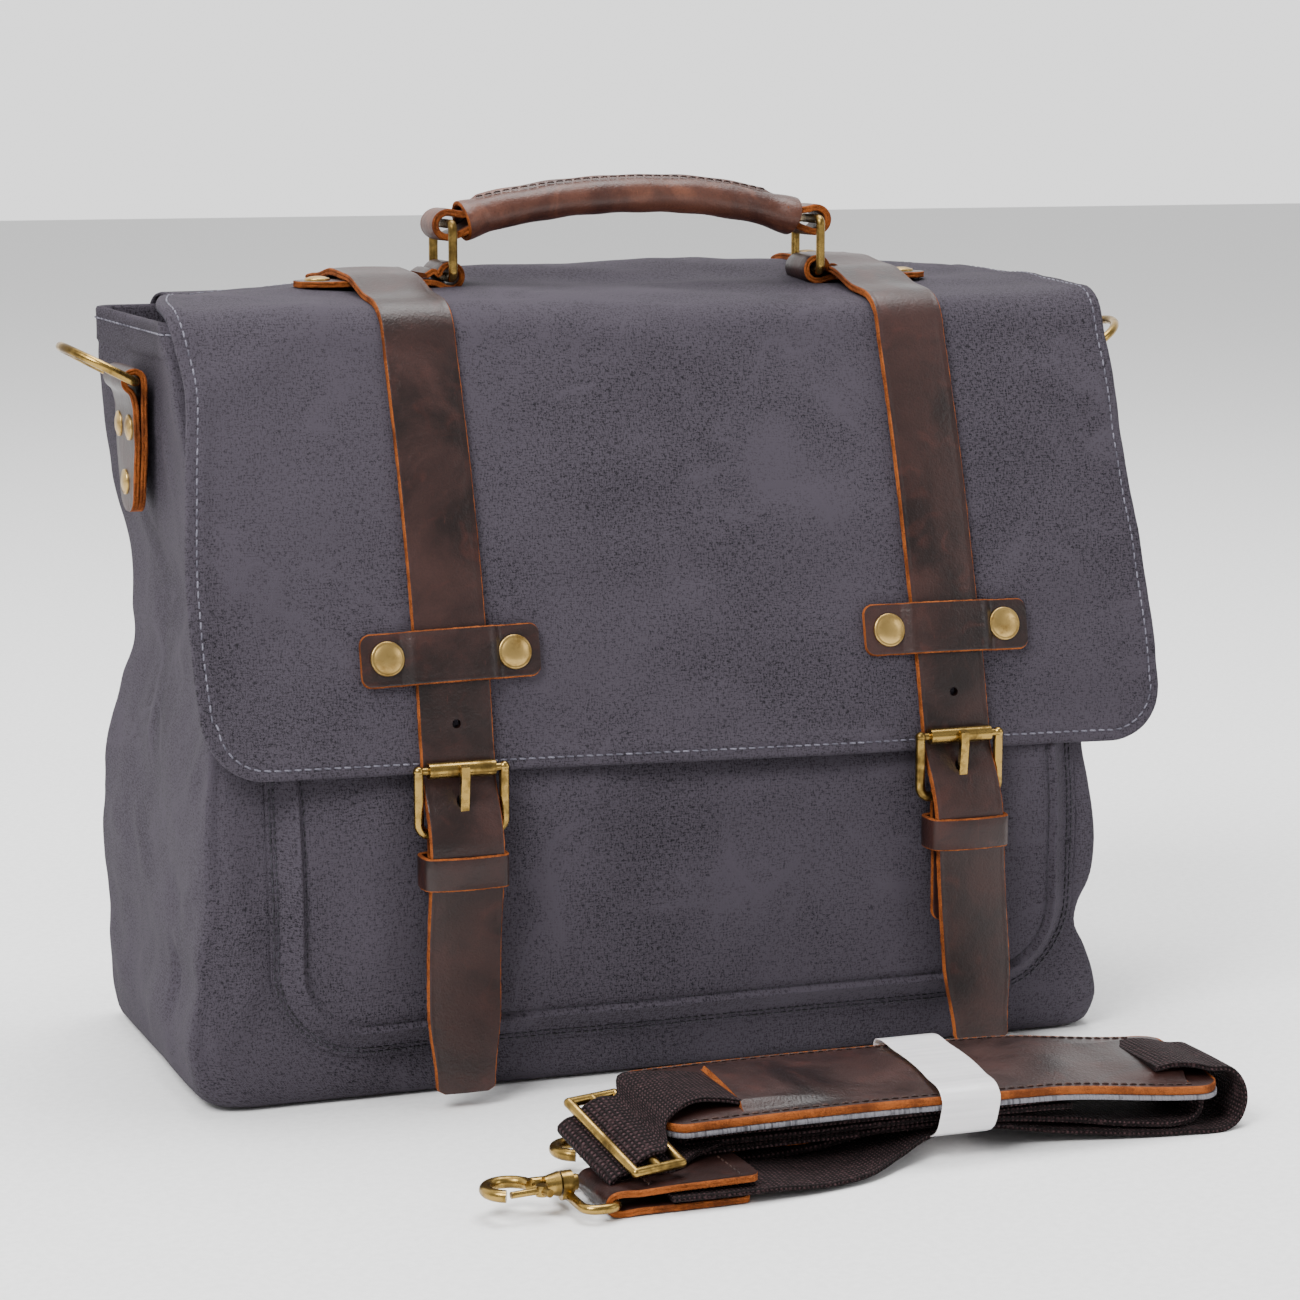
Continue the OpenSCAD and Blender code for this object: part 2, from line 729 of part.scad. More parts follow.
back_panel();
front_panel();
gusset(-1);  // gusset_left
gusset(1);  // gusset_right
bottom_panel();
lining();
base_board();
laptop_divider();
inner_pocket();
pocket_front();
pocket_gusset();
snap_sockets();
side_tab(-1);  // side_tab_left
side_tab(1);  // side_tab_right
side_rivets();
back_yoke();
flap_top();
strap_top(-1);  // strap_top_left
strap_top(1);  // strap_top_right
handle_tabs();
handle_tab_rivets();
flap_front();
flap_facing();
strap_front(-1);  // strap_front_left
strap_front(1);  // strap_front_right
keeper(-1);  // keeper_left
keeper(1);  // keeper_right
keeper_rivets();
strap_tail(-1);  // strap_tail_left
strap_tail(1);  // strap_tail_right
chape(-1);  // chape_left
chape(1);  // chape_right
keeper_loop(-1);  // keeper_loop_left
keeper_loop(1);  // keeper_loop_right
buckle_frame(-1);  // buckle_frame_left
buckle_frame(1);  // buckle_frame_right
snap_plunger(-1);  // snap_plunger_left
snap_plunger(1);  // snap_plunger_right
roller(-1);  // roller_left
roller(1);  // roller_right
tongue(-1);  // tongue_left
tongue(1);  // tongue_right
d_ring(-1);  // d_ring_left
d_ring(1);  // d_ring_right
handle_ring(-1);  // handle_ring_left
handle_ring(1);  // handle_ring_right
handle_grip();
handle_end_loops();
shoulder_webbing();
shoulder_pad();
pad_backing();
hank_band();
adjuster_slide();
end_tabs();
hook_eyes();
hook(0);  // hook_front
hook(1);  // hook_rear
hook_gate(0);  // hook_gate_front
hook_gate(1);  // hook_gate_rear
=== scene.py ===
import json
import math

import bpy
import numpy as np
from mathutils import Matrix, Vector, noise


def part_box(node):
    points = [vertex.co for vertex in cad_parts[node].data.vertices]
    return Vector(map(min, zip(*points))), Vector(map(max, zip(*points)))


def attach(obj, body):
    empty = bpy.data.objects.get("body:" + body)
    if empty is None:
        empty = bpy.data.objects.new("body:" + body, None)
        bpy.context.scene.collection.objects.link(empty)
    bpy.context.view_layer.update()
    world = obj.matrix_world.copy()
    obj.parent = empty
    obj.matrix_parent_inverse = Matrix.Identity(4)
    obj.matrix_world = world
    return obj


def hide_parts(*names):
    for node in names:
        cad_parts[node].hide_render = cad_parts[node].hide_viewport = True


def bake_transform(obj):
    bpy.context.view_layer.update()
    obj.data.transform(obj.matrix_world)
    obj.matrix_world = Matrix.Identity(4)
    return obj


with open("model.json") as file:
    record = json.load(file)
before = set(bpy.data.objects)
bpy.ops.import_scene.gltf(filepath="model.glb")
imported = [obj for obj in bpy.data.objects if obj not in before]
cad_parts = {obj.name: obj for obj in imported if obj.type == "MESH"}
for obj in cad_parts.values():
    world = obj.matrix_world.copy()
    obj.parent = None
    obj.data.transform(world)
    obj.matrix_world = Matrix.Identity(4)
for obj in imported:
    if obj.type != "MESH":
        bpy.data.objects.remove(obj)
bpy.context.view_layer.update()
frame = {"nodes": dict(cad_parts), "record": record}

bl_info = {
    "name": "Canvas Messenger Bag",
    "version": (1, 0, 0),
    "blender": (4, 5, 0),
    "location": "View3D > Sidebar > Messenger Bag",
    "description": "Builds a waxed canvas messenger bag with leather straps round its fixed frame",
    "category": "Add Mesh",
}

SIDES = (("left", -1), ("right", 1))


# ---- sizes from the frame, in millimetres ----


def box_mm(node):
    """Lowest and highest corner of a frame node, in millimetres."""
    low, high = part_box(node)
    return np.array(low) * 1000, np.array(high) * 1000


BACK_Y = box_mm("back_panel")[1][1]
RIM_Z = box_mm("back_panel")[1][2]
FOOT_Y = box_mm("bottom_panel")[0][1] - 2
BELLY_MIN_Y = box_mm("front_panel")[0][1]
RIM_Y = box_mm("front_panel")[1][1] - 2
POCKET_LOW, POCKET_HIGH = box_mm("pocket_front")
TOP_LOW, TOP_HIGH = box_mm("flap_top")
FLAP_LOW = box_mm("flap_front")[0]
RIDGE_Y = TOP_LOW[1] - 0.3
CROWN = 4
TOP_EDGE_Z = TOP_HIGH[2] - CROWN
STRAP_X = np.mean([c[0] for c in box_mm("strap_front_right")])
STRAP_HALF = (box_mm("strap_front_right")[1][0] - box_mm("strap_front_right")[0][0]) / 2
KEEPER_Z = np.mean([c[2] for c in box_mm("keeper_right")])
ROLLER = np.mean(box_mm("roller_right"), axis=0)
HEEL_Z = box_mm("tongue_right")[0][2] + 3.4
TAIL_END_Z = box_mm("strap_tail_right")[0][2]
# thicknesses, and widths of rivet caps
STRAP_T = 3.0
WEBBING_T = 2.2
TAB_T = 2.6
BUCKLE_LEATHER_T = 1.9
KEEPER_T = 2.3
KEEPER_HALF = 10.6
LARGE_CAP = 13.8
SMALL_CAP = 10.5
GRIP_RADIUS = 7.3


def foot_curve(z):
    """The front of the body, as y at height z: a quadratic curve from the foot over the belly to the rim."""
    a, c = FOOT_Y, RIM_Y
    rise = a - BELLY_MIN_Y
    b = a - rise - math.sqrt(rise * rise + rise * (c - a))
    knee = 0.49 * RIM_Z
    z = np.clip(np.asarray(z, float), 0, RIM_Z)
    t = (np.sqrt(knee * knee + (RIM_Z - 2 * knee) * z) - knee) / (RIM_Z - 2 * knee)
    return (1 - t) ** 2 * a + 2 * t * (1 - t) * b + t * t * c


FLAP_OUT = float(foot_curve(FLAP_LOW[2])) - FLAP_LOW[1]


def spline(x, xs, ys):
    """A smooth curve through the points xs, ys, read at x, flat beyond its ends."""
    x = np.asarray(x, float)
    xs, ys = np.asarray(xs, float), np.asarray(ys, float)
    slope = np.gradient(ys, xs)
    k = np.clip(np.searchsorted(xs, x) - 1, 0, len(xs) - 2)
    h = xs[k + 1] - xs[k]
    t = np.clip((x - xs[k]) / h, 0, 1)
    return (
        (2 * t**3 - 3 * t**2 + 1) * ys[k]
        + (t**3 - 2 * t**2 + t) * h * slope[k]
        + (3 * t**2 - 2 * t**3) * ys[k + 1]
        + (t**3 - t**2) * h * slope[k + 1]
    )


def smooth(x, low, high):
    """0 below low, 1 above high, and a smooth step between them."""
    t = np.clip((np.asarray(x, float) - low) / (high - low), 0, 1)
    return t * t * (3 - 2 * t)


def bump(x, width):
    """A bell of height 1 and that half width."""
    return np.exp(-((np.asarray(x, float) / width) ** 2))


def cloth_noise(points, size, seed):
    """Soft noise from -1 to 1 at each point, its lumps about size across."""
    flat = np.asarray(points, float).reshape(-1, 3) / size + seed * 17.3
    found = np.array([noise.noise(Vector(p)) for p in flat])
    return found.reshape(np.shape(points)[:-1]) * 1.6


def fold(u, v, start, end, depth, width):
    """A ridge, or with a negative depth a valley, along a line on the cloth, fading at its ends."""
    start, end = np.array(start, float), np.array(end, float)
    d = end - start
    t = np.clip(((u - start[0]) * d[0] + (v - start[1]) * d[1]) / (d @ d), 0, 1)
    away = np.hypot(u - start[0] - t * d[0], v - start[1] - t * d[1])
    return depth * bump(away, width) * (0.25 + 0.75 * np.sin(np.pi * np.clip(t, 0.02, 0.98)))


# ---- mesh making ----


def unit(v):
    """The vectors at length one."""
    return v / np.maximum(np.linalg.norm(v, axis=-1, keepdims=True), 1e-9)


def length_along(path):
    """How far each point of a path is from its start, along it."""
    return np.concatenate([[0], np.cumsum(np.linalg.norm(np.diff(path, axis=0), axis=1))])


def upright(flat, y):
    """A path given as x and z, put in the upright plane at y."""
    return np.stack([flat[:, 0], np.full(len(flat), y), flat[:, 1]], -1)


class Mesh:
    """Gathers the points, faces, cloth coordinates and finishes of one piece, in millimetres."""

    def __init__(self):
        """An empty mesh."""
        self.points, self.faces, self.finish, self.cloth = [], [], [], []

    def add(self, points, faces, finish, cloth=None):
        """Adds points and faces, with one finish or one for each face."""
        start = len(self.points)
        points = np.asarray(points, float).reshape(-1, 3)
        self.points.extend(points.tolist())
        cloth = points[:, [0, 2]] if cloth is None else np.asarray(cloth, float).reshape(-1, 2)
        self.cloth.extend(cloth.tolist())
        self.faces.extend([tuple(int(i) + start for i in f) for f in faces])
        several = hasattr(finish, "__len__")
        self.finish.extend(list(finish) if several else [finish] * len(faces))

    def grid(self, points, finish, cloth=None, turn=False):
        """A sheet of quads from an array of rows of points; turn makes it face the other way."""
        rows, cols = points.shape[:2]
        i = np.arange(rows - 1)[:, None] * cols + np.arange(cols - 1)
        quads = np.stack([i, i + 1, i + cols + 1, i + cols], -1).reshape(-1, 4)
        if turn:
            quads = quads[:, ::-1]
        if hasattr(finish, "__len__"):
            finish = np.tile(np.asarray(finish), rows - 1)
        self.add(points, quads, finish, cloth)

    def build(self, name, finishes, merge=0.0, sharp=40):
        """Makes the object, in metres."""
        mesh = bpy.data.meshes.new(name)
        mesh.from_pydata((np.array(self.points) / 1000).tolist(), [], self.faces)
        for finish in finishes:
            mesh.materials.append(finish)
        mesh.polygons.foreach_set("material_index", np.array(self.finish, np.int32))
        mesh.polygons.foreach_set("use_smooth", np.ones(len(self.faces), bool))
        layer = mesh.uv_layers.new(name="cloth")
        corner = np.zeros(len(mesh.loops), np.int32)
        mesh.loops.foreach_get("vertex_index", corner)
        layer.data.foreach_set("uv", (np.array(self.cloth)[corner] / 1000).astype(np.float32).ravel())
        made = bpy.data.objects.new(name, mesh)
        bpy.context.scene.collection.objects.link(made)
        if merge:
            weld(made, merge / 1000)
        mesh.set_sharp_from_angle(angle=math.radians(sharp))
        return made


def weld(made, distance):
    """Joins the piece's points that lie closer than distance, in metres."""
    modifier = made.modifiers.new("weld", "WELD")
    modifier.merge_threshold = distance
    bake(made)


def bake(made):
    """Applies the piece's modifiers to its mesh."""
    bpy.context.view_layer.update()
    held = made.evaluated_get(bpy.context.evaluated_depsgraph_get())
    mesh = bpy.data.meshes.new_from_object(held)
    made.modifiers.clear()
    made.data = mesh


def cut(made, cutters):
    """Cuts closed shapes, each a Mesh, out of the piece."""
    for shape in cutters:
        tool = shape.build("cutter", [])
        modifier = made.modifiers.new("cut", "BOOLEAN")
        modifier.operation, modifier.solver, modifier.object = "DIFFERENCE", "EXACT", tool
        bake(made)
        bpy.data.objects.remove(tool)
    made.data.set_sharp_from_angle(angle=math.radians(40))


def drum(centre, axis, radii, places, sides=24):
    """A closed turned shape: its radius at each place along the axis from the centre."""
    axis = unit(np.array(axis, float))
    helper = np.array([0, 0, 1.0]) if abs(axis[2]) < 0.9 else np.array([1.0, 0, 0])
    a = unit(np.cross(helper, axis))
    b = np.cross(axis, a)
    angle = np.linspace(0, 2 * np.pi, sides, endpoint=False)
    ring = np.cos(angle)[:, None] * a + np.sin(angle)[:, None] * b
    points = [np.array(centre) + axis * p + ring * max(r, 0.01) for r, p in zip(radii, places)]
    faces = [tuple(range(sides))[::-1]]
    for k in range(len(radii) - 1):
        for j in range(sides):
            n = (j + 1) % sides
            faces.append((k * sides + j, k * sides + n, (k + 1) * sides + n, (k + 1) * sides + j))
    faces.append(tuple((len(radii) - 1) * sides + j for j in range(sides)))
    return np.concatenate(points), faces


def add_rivet(mesh, centre, axis, width, height, finish=0):
    """A pressed rivet cap: a low dome inside a rolled rim."""
    r = width / 2
    share = [
        (1, 0), (1, 0.3), (0.97, 0.52), (0.9, 0.6), (0.85, 0.52), (0.8, 0.6), (0.62, 0.84), (0.38, 0.96), (0.14, 1)
    ]
    points, faces = drum(centre, axis, [r * s[0] for s in share], [height * s[1] for s in share], 32)
    mesh.add(points, faces, finish)


def stitch_size(context):
    """Pitch, length and thread width of the sewing."""
    sewing = context.scene.bag_sewing
    return sewing.pitch, sewing.length, sewing.width


def add_stitches(mesh, path, normal, finish, pitch, length, width):
    """Rows of sewn stitches: short rounded lengths of thread whose ends dip into the cloth."""
    path = np.asarray(path, float)
    normal = unit(np.broadcast_to(np.asarray(normal, float), path.shape))
    run = length_along(path)
    if run[-1] < pitch:
        return
    places = np.arange(pitch * 0.5, run[-1] - pitch * 0.4, pitch)
    centre = np.stack([np.interp(places, run, path[:, k]) for k in range(3)], -1)
    ahead = np.stack([np.interp(places + 0.5, run, path[:, k]) for k in range(3)], -1)
    behind = np.stack([np.interp(places - 0.5, run, path[:, k]) for k in range(3)], -1)
    up = unit(np.stack([np.interp(places, run, normal[:, k]) for k in range(3)], -1))
    along = unit(ahead - behind)
    side = unit(np.cross(along, up))
    along = unit(along + side * 0.07)
    where = np.array([-0.5, -0.43, -0.25, 0.25, 0.43, 0.5]) * length
    thick = np.array([0.25, 0.8, 1, 1, 0.8, 0.25]) * width / 2
    high = np.array([-0.5, -0.1, 0.22, 0.22, -0.1, -0.5]) * width
    angle = np.linspace(0, 2 * np.pi, 6, endpoint=False)
    faces = [
        (k * 6 + j, k * 6 + (j + 1) % 6, k * 6 + 6 + (j + 1) % 6, k * 6 + 6 + j)
        for k in range(5)
        for j in range(6)
    ]
    faces += [tuple(range(6))[::-1], tuple(range(30, 36))]
    for c, a, s, u in zip(centre, along, side, up):
        ring = np.cos(angle)[:, None] * s + np.sin(angle)[:, None] * u
        points = c + where[:, None, None] * a + high[:, None, None] * u + thick[:, None, None] * ring
        mesh.add(points, faces, finish, np.stack([np.repeat(where, 6), np.tile(angle, 6) * width / 2], -1))


def add_band(
    mesh, path, side, half, thick, finish=0, edge=1, crease=True, crown=0.2, under=None, fray=0.12, ends=True
):
    """A flat strap along a path, with a faint crease line near each edge and raw cut edges."""
    path = np.asarray(path, float)
    n = len(path)
    side = unit(np.broadcast_to(np.asarray(side, float), (n, 3)))
    half = np.broadcast_to(np.asarray(half, float), (n,))
    along = unit(np.gradient(path, axis=0))
    up = unit(np.cross(side, along))
    line = 0.07 if crease else 0.0
    top = [(0.5, 0.5), (1.6, 0.5), (2.2, 0.5 - line / thick), (2.8, 0.5)]
    middle = [(-0.7, 0.5), (-0.35, 0.5), (0.0, 0.5), (0.35, 0.5), (0.7, 0.5)]
    rim = [(0.12, 0.4), (0.0, 0.22), (0.3, 0.02), (0.0, -0.22), (0.12, -0.4)]
    columns = [("inset", -1, i, b, finish) for i, b in top]
    columns += [("share", 1, i, b, finish) for i, b in middle]
    columns += [("inset", 1, i, b, finish) for i, b in top[::-1]]
    columns += [("inset", 1, i, b, edge) for i, b in rim]
    under = finish if under is None else under
    columns += [
        ("inset", 1, 0.5, -0.5, under), ("share", 1, 0.5, -0.5, under), ("share", 1, -0.5, -0.5, under),
        ("inset", -1, 0.5, -0.5, edge)
    ]
    columns += [("inset", -1, i, b, edge) for i, b in rim[::-1]]
    columns.append(columns[0])
    rough = np.random.RandomState(7)
    grid, kinds = [], []
    for kind, sign, i, b, material in columns:
        if kind == "inset":
            jitter = rough.uniform(-fray, fray, n) if i < 0.4 else 0
            a = sign * np.maximum(half - i + jitter, 0.02)
            lift = 0
        else:
            a = i * np.maximum(half - 2.8, 0.01)
            lift = crown * (1 - i * i) if b > 0 else 0
        grid.append(path + side * np.reshape(a, (-1, 1)) + up * (b * thick + lift))
        kinds.append(material)
    last = len(top) * 2 + len(middle) - 1
    kinds[last] = edge
    grid[-1] = grid[0]
    grid = np.stack(grid, 1)
    run = length_along(path)
    around = length_along(grid[n // 2])
    cloth = np.stack(np.broadcast_arrays(run[:, None], around), -1)
    start = len(mesh.points)
    mesh.grid(grid, kinds[:-1], cloth, turn=True)
    if ends:
        cols = grid.shape[1]
        mesh.faces.append(tuple(start + j for j in range(cols - 1)))
        mesh.faces.append(tuple(start + (n - 1) * cols + j for j in range(cols - 1))[::-1])
        mesh.finish.extend([edge, edge])


def rounded_half(run, half, radius, ends=(True, True)):
    """The half width of a strap along its run when its end corners are rounded."""
    run = np.asarray(run, float)
    out = np.full(len(run), float(half))
    for which, away in ((0, run - run[0]), (1, run[-1] - run)):
        if ends[which]:
            d = np.clip(away, 0, radius)
            out = np.minimum(out, half - radius + np.sqrt(np.maximum(radius**2 - (radius - d) ** 2, 0)))
    return out


def dense_ends(length, step, radius):
    """Places along a length, close together near both ends so that rounded corners stay round."""
    near = radius * np.array([0, 0.02, 0.08, 0.18, 0.34, 0.56, 0.8])
    inner = np.arange(radius, length - radius, step)
    return np.unique(np.concatenate([near, inner, length - near]))


def curve_through(points, step=2.0):
    """A smooth path through points, at about that step."""
    p = np.asarray(points, float)
    run = length_along(p)
    at = np.linspace(0, run[-1], max(int(run[-1] / step), 4))
    return np.stack([spline(at, run, p[:, k]) for k in range(p.shape[1])], -1)


# ---- the flap's line over the top and down the front ----


def top_z(y):
    """Height of the flap's top side at y."""
    return TOP_EDGE_Z + CROWN * (1 - ((2 * y - BACK_Y - RIDGE_Y) / (BACK_Y - RIDGE_Y)) ** 2)


def flap_line():
    """The outside of the closed flap as (y, z), from the back edge over the ridge to the lower edge."""
    corner_z = RIM_Z - 10
    y = np.arange(BACK_Y, RIDGE_Y, -1.0)
    top = np.stack([y, top_z(y)], -1)
    a = np.radians(np.arange(0, 91, 7.5))
    in_y = RIDGE_Y - 0.3
    reach = in_y + FLAP_OUT - foot_curve(corner_z)
    ridge = np.stack([in_y - reach * np.sin(a), corner_z + (TOP_EDGE_Z - corner_z) * np.cos(a)], -1)
    z = np.arange(corner_z - 1, FLAP_LOW[2] - 8, -1.0)
    front = np.stack([foot_curve(z) - FLAP_OUT, z], -1)
    line = np.concatenate([top, ridge, front])
    for _ in range(12):
        line[1:-1] = (line[:-2] + 2 * line[1:-1] + line[2:]) / 4
    return line


LINE = flap_line()
RUN = length_along(LINE)
SLOPE = unit(np.gradient(LINE, RUN, axis=0))
LINE_Y = LINE[:, 0]


def run_at_y(y):
    """How far along the flap's line the top has this y."""
    return float(np.interp(-y, -LINE_Y[: int(0.5 * len(LINE))], RUN[: int(0.5 * len(LINE))]))


def run_at_z(z):
    """How far along the flap's line the front has this height."""
    half = int(0.42 * len(LINE))
    return float(np.interp(-z, -LINE[half:, 1], RUN[half:]))


def flap_swell(x, s):
    """How far the cloth of the flap stands off its line at x and s: its crown, sag and creases."""
    x, s = np.broadcast_arrays(np.asarray(x, float), np.asarray(s, float))
    ridge = run_at_y(RIDGE_Y + 6)
    crest = spline(x, [-206, -190, -125, -50, 40, 110, 165, 195, 206], [-4, -3, 1.5, 6.5, 9.5, 7.5, 4.5, -1, -4])
    out = crest * bump(s - run_at_y(54), 27)
    out += 2.2 * bump(x, 60) * bump(s - run_at_y(-8), 26)
    free = 1 - 0.85 * bump(np.abs(x) - STRAP_X, 24)
    place = np.stack([x, s, 0 * x], -1)
    out += free * (2.2 * cloth_noise(place, 120, 1) + 1.0 * cloth_noise(place * [1, 1.6, 1], 45, 2))
    out += 0.3 * free * cloth_noise(place, 15, 3)
    low = smooth(s, RUN[-1] - 70, RUN[-1] - 8)
    out += low * (1.6 * np.sin(x / 31 + 0.6) * free + 1.0)
    between = bump(x, 70)
    out += fold(x, s, (-60, ridge + 20), (30, ridge + 34), 1.2, 7) * between
    out += fold(x, s, (-70, 40), (40, 62), 1.6, 8) + fold(x, s, (-20, 84), (60, 74), 1.4, 7)
    out += fold(x, s, (-200, ridge + 46), (-150, ridge + 24), 1.2, 8)
    out += fold(x, s, (-205, ridge + 120), (-170, ridge + 150), -1.2, 9)
    out += fold(x, s, (150, ridge + 40), (196, ridge + 66), 1.4, 9)
    out += fold(
        x, s, (-60, ridge + 90), (10, ridge + 128), -0.9, 8
    ) + fold(x, s, (-30, ridge + 150), (50, ridge + 120), 0.9, 9)
    return out


def flap_at(x, s, off=0.0, swell=None):
    """The point at x and s along the flap's line, off out from the cloth."""
    x, s = np.broadcast_arrays(np.asarray(x, float), np.asarray(s, float))
    y = np.interp(s, RUN, LINE[:, 0])
    z = np.interp(s, RUN, LINE[:, 1])
    ty = np.interp(s, RUN, SLOPE[:, 0])
    tz = np.interp(s, RUN, SLOPE[:, 1])
    h = off + (flap_swell(x, s) if swell is None else swell)
    return np.stack([x, y + tz * h, z - ty * h], -1)


def flap_normal(s):
    """The direction out of the flap at a run along its line."""
    ty, tz = np.interp(s, RUN, SLOPE[:, 0]), np.interp(s, RUN, SLOPE[:, 1])
    return np.stack([0 * ty, tz, -ty], -1)


# ---- finishes ----


def srgb(text):
    """An sRGB hex colour in the linear values that shaders take."""
    parts = [int(text[i : i + 2], 16) / 255 for i in (1, 3, 5)]
    return tuple(c / 12.92 if c <= 0.04045 else ((c + 0.055) / 1.055) ** 2.4 for c in parts) + (1.0,)


def opaque(colour):
    """A colour property with the fourth value that sockets take."""
    return tuple(colour) + (1,)


# settings that many nodes share: a ramp with soft ends, and two ways to put colours together
SOFT_RAMP = {"interpolation_type": "SMOOTHSTEP"}
MIXED = {"data_type": "RGBA", "blend_type": "MIX"}
MULTIPLIED = {"data_type": "RGBA", "blend_type": "MULTIPLY"}


def new_finish(name):
    """An empty material of that name, and its node tree."""
    made = bpy.data.materials.get(name) or bpy.data.materials.new(name)
    made.use_nodes = True
    made.node_tree.nodes.clear()
    return made, made.node_tree


def add(tree, kind, links=None, **settings):
    """Adds one shader node; links gives its inputs another node's output or a plain value."""
    made = tree.nodes.new("ShaderNode" + kind)
    for name, value in settings.items():
        setattr(made, name, value)
    for socket, value in (links or {}).items():
        if isinstance(value, bpy.types.Node):
            value = value.outputs[0]
        if isinstance(value, bpy.types.NodeSocket):
            tree.links.new(value, made.inputs[socket])
        else:
            made.inputs[socket].default_value = value
    return made


def close_finish(tree, settings):
    """Ends a finish with the surface shader that has those settings."""
    add(tree, "OutputMaterial", {"Surface": add(tree, "BsdfPrincipled", settings)})


def weave(tree, spacing, ribs=1.0):
    """Plain weave at that thread spacing in metres: the shade of the thread on top, and its height."""
    cloth = add(tree, "UVMap", uv_map="cloth")
    wobble = add(tree, "TexNoise", {"Vector": cloth, "Scale": 0.12 / spacing, "Detail": 2.0})
    moved = add(tree, "VectorMath", {0: wobble.outputs["Color"], 3: spacing * 0.6}, operation="SCALE")
    place = add(tree, "VectorMath", {0: cloth, 1: moved}, operation="ADD")
    parts = add(tree, "SeparateXYZ", {0: place})
    waves = []
    for axis in (0, 1):
        turns = add(tree, "Math", {0: parts.outputs[axis], 1: math.pi / spacing}, operation="MULTIPLY")
        waves.append(add(tree, "Math", {0: turns}, operation="SINE"))
    over = add(tree, "Math", {0: waves[0], 1: waves[1]}, operation="MULTIPLY")
    across = add(tree, "Mapping", {"Vector": cloth, "Scale": (1 / spacing, 0.3 / spacing, 1)})
    along = add(tree, "Mapping", {"Vector": cloth, "Scale": (0.3 / spacing, 1 / spacing, 1)})
    warp = add(tree, "TexNoise", {"Vector": across, "Scale": 1.0, "Detail": 1.0})
    weft = add(tree, "TexNoise", {"Vector": along, "Scale": 1.0, "Detail": 1.0})
    pick = add(tree, "MapRange", {0: over, 1: -0.25 * ribs, 2: 0.25 * ribs}, **SOFT_RAMP)
    yarn = add(tree, "Mix", {0: pick, 2: warp.outputs[0], 3: weft.outputs[0]}, data_type="FLOAT")
    height = add(tree, "Math", {0: over}, operation="ABSOLUTE")
    return yarn.outputs[0], height


def dyed_canvas(name, dark, light, spacing, cracks, gloss, depth):
    """Woven cotton: two shades of yarn, cloudy dye, and pale branching marks where its wax has cracked."""
    made, tree = new_finish(name)
    where = add(tree, "TexCoord").outputs["Object"]
    yarn, height = weave(tree, spacing)
    clouds = add(tree, "TexNoise", {"Vector": where, "Scale": 11.0, "Detail": 5.0, "Roughness": 0.6})
    patches = add(tree, "TexNoise", {"Vector": where, "Scale": 19.0, "Detail": 2.0, "Distortion": 0.6})
    marks = 0.0
    for scale, thin, wide, power in ((7.5, 0.006, 0.032, 1.0), (17.0, 0.01, 0.05, 0.75), (33.0, 0.014, 0.05, 0.45)):
        # a crease runs where slow noise passes through its middle value
        slow = add(
            tree, "TexNoise", {"Vector": where, "Scale": scale, "Detail": 2.0, "Roughness": 0.45, "Distortion": 0.9}
        )
        away = add(tree, "Math", {0: slow.outputs[0], 1: 0.5}, operation="SUBTRACT")
        away = add(tree, "Math", {0: away}, operation="ABSOLUTE")
        line = add(
            tree, "Math",
            {
                0: add(tree, "MapRange", {0: away, 1: 0.0, 2: thin, 3: power, 4: 0.0}, **SOFT_RAMP),
                1: add(tree, "MapRange", {0: away, 1: 0.0, 2: wide, 3: power * 0.5, 4: 0.0}, **SOFT_RAMP)
            },
            operation="MAXIMUM"
        )
        marks = add(tree, "Math", {0: line, 1: marks}, operation="MAXIMUM")
    marks = add(
        tree, "Math", {0: marks, 1: add(tree, "MapRange", {0: patches.outputs[0], 1: 0.47, 2: 0.64}, **SOFT_RAMP)},
        operation="MULTIPLY"
    )
    marks = add(tree, "Math", {0: marks, 1: cracks}, operation="MULTIPLY")
    cloud = add(tree, "MapRange", {0: clouds.outputs[0], 1: 0.32, 2: 0.72, 3: 0.0, 4: 0.36}, **SOFT_RAMP)
    speck = add(tree, "MapRange", {0: yarn, 1: 0.3, 2: 0.6, 3: 0.06, 4: 0.95}, **SOFT_RAMP)
    share = add(tree, "Math", {0: cloud, 1: speck}, operation="ADD")
    share = add(tree, "Math", {0: share, 1: marks}, operation="ADD", use_clamp=True)
    colour = add(tree, "Mix", {0: share, 6: dark, 7: light}, **MIXED).outputs[2]
    rough = add(tree, "MapRange", {0: share, 1: 0.0, 2: 1.0, 3: gloss - 0.06, 4: gloss + 0.1}, **SOFT_RAMP)
    lift = add(tree, "Math", {0: height, 1: yarn, 2: 0.0}, operation="MULTIPLY_ADD")
    bumps = add(tree, "Bump", {"Height": lift, "Strength": depth, "Distance": 0.0005})
    bumps = add(tree, "Bump", {"Height": marks, "Strength": 0.35, "Distance": 0.0006, "Normal": bumps})
    close_finish(
        tree, {"Base Color": colour, "Roughness": rough, "IOR": 1.5, "Specular IOR Level": 0.1, "Normal": bumps}
    )
    return made


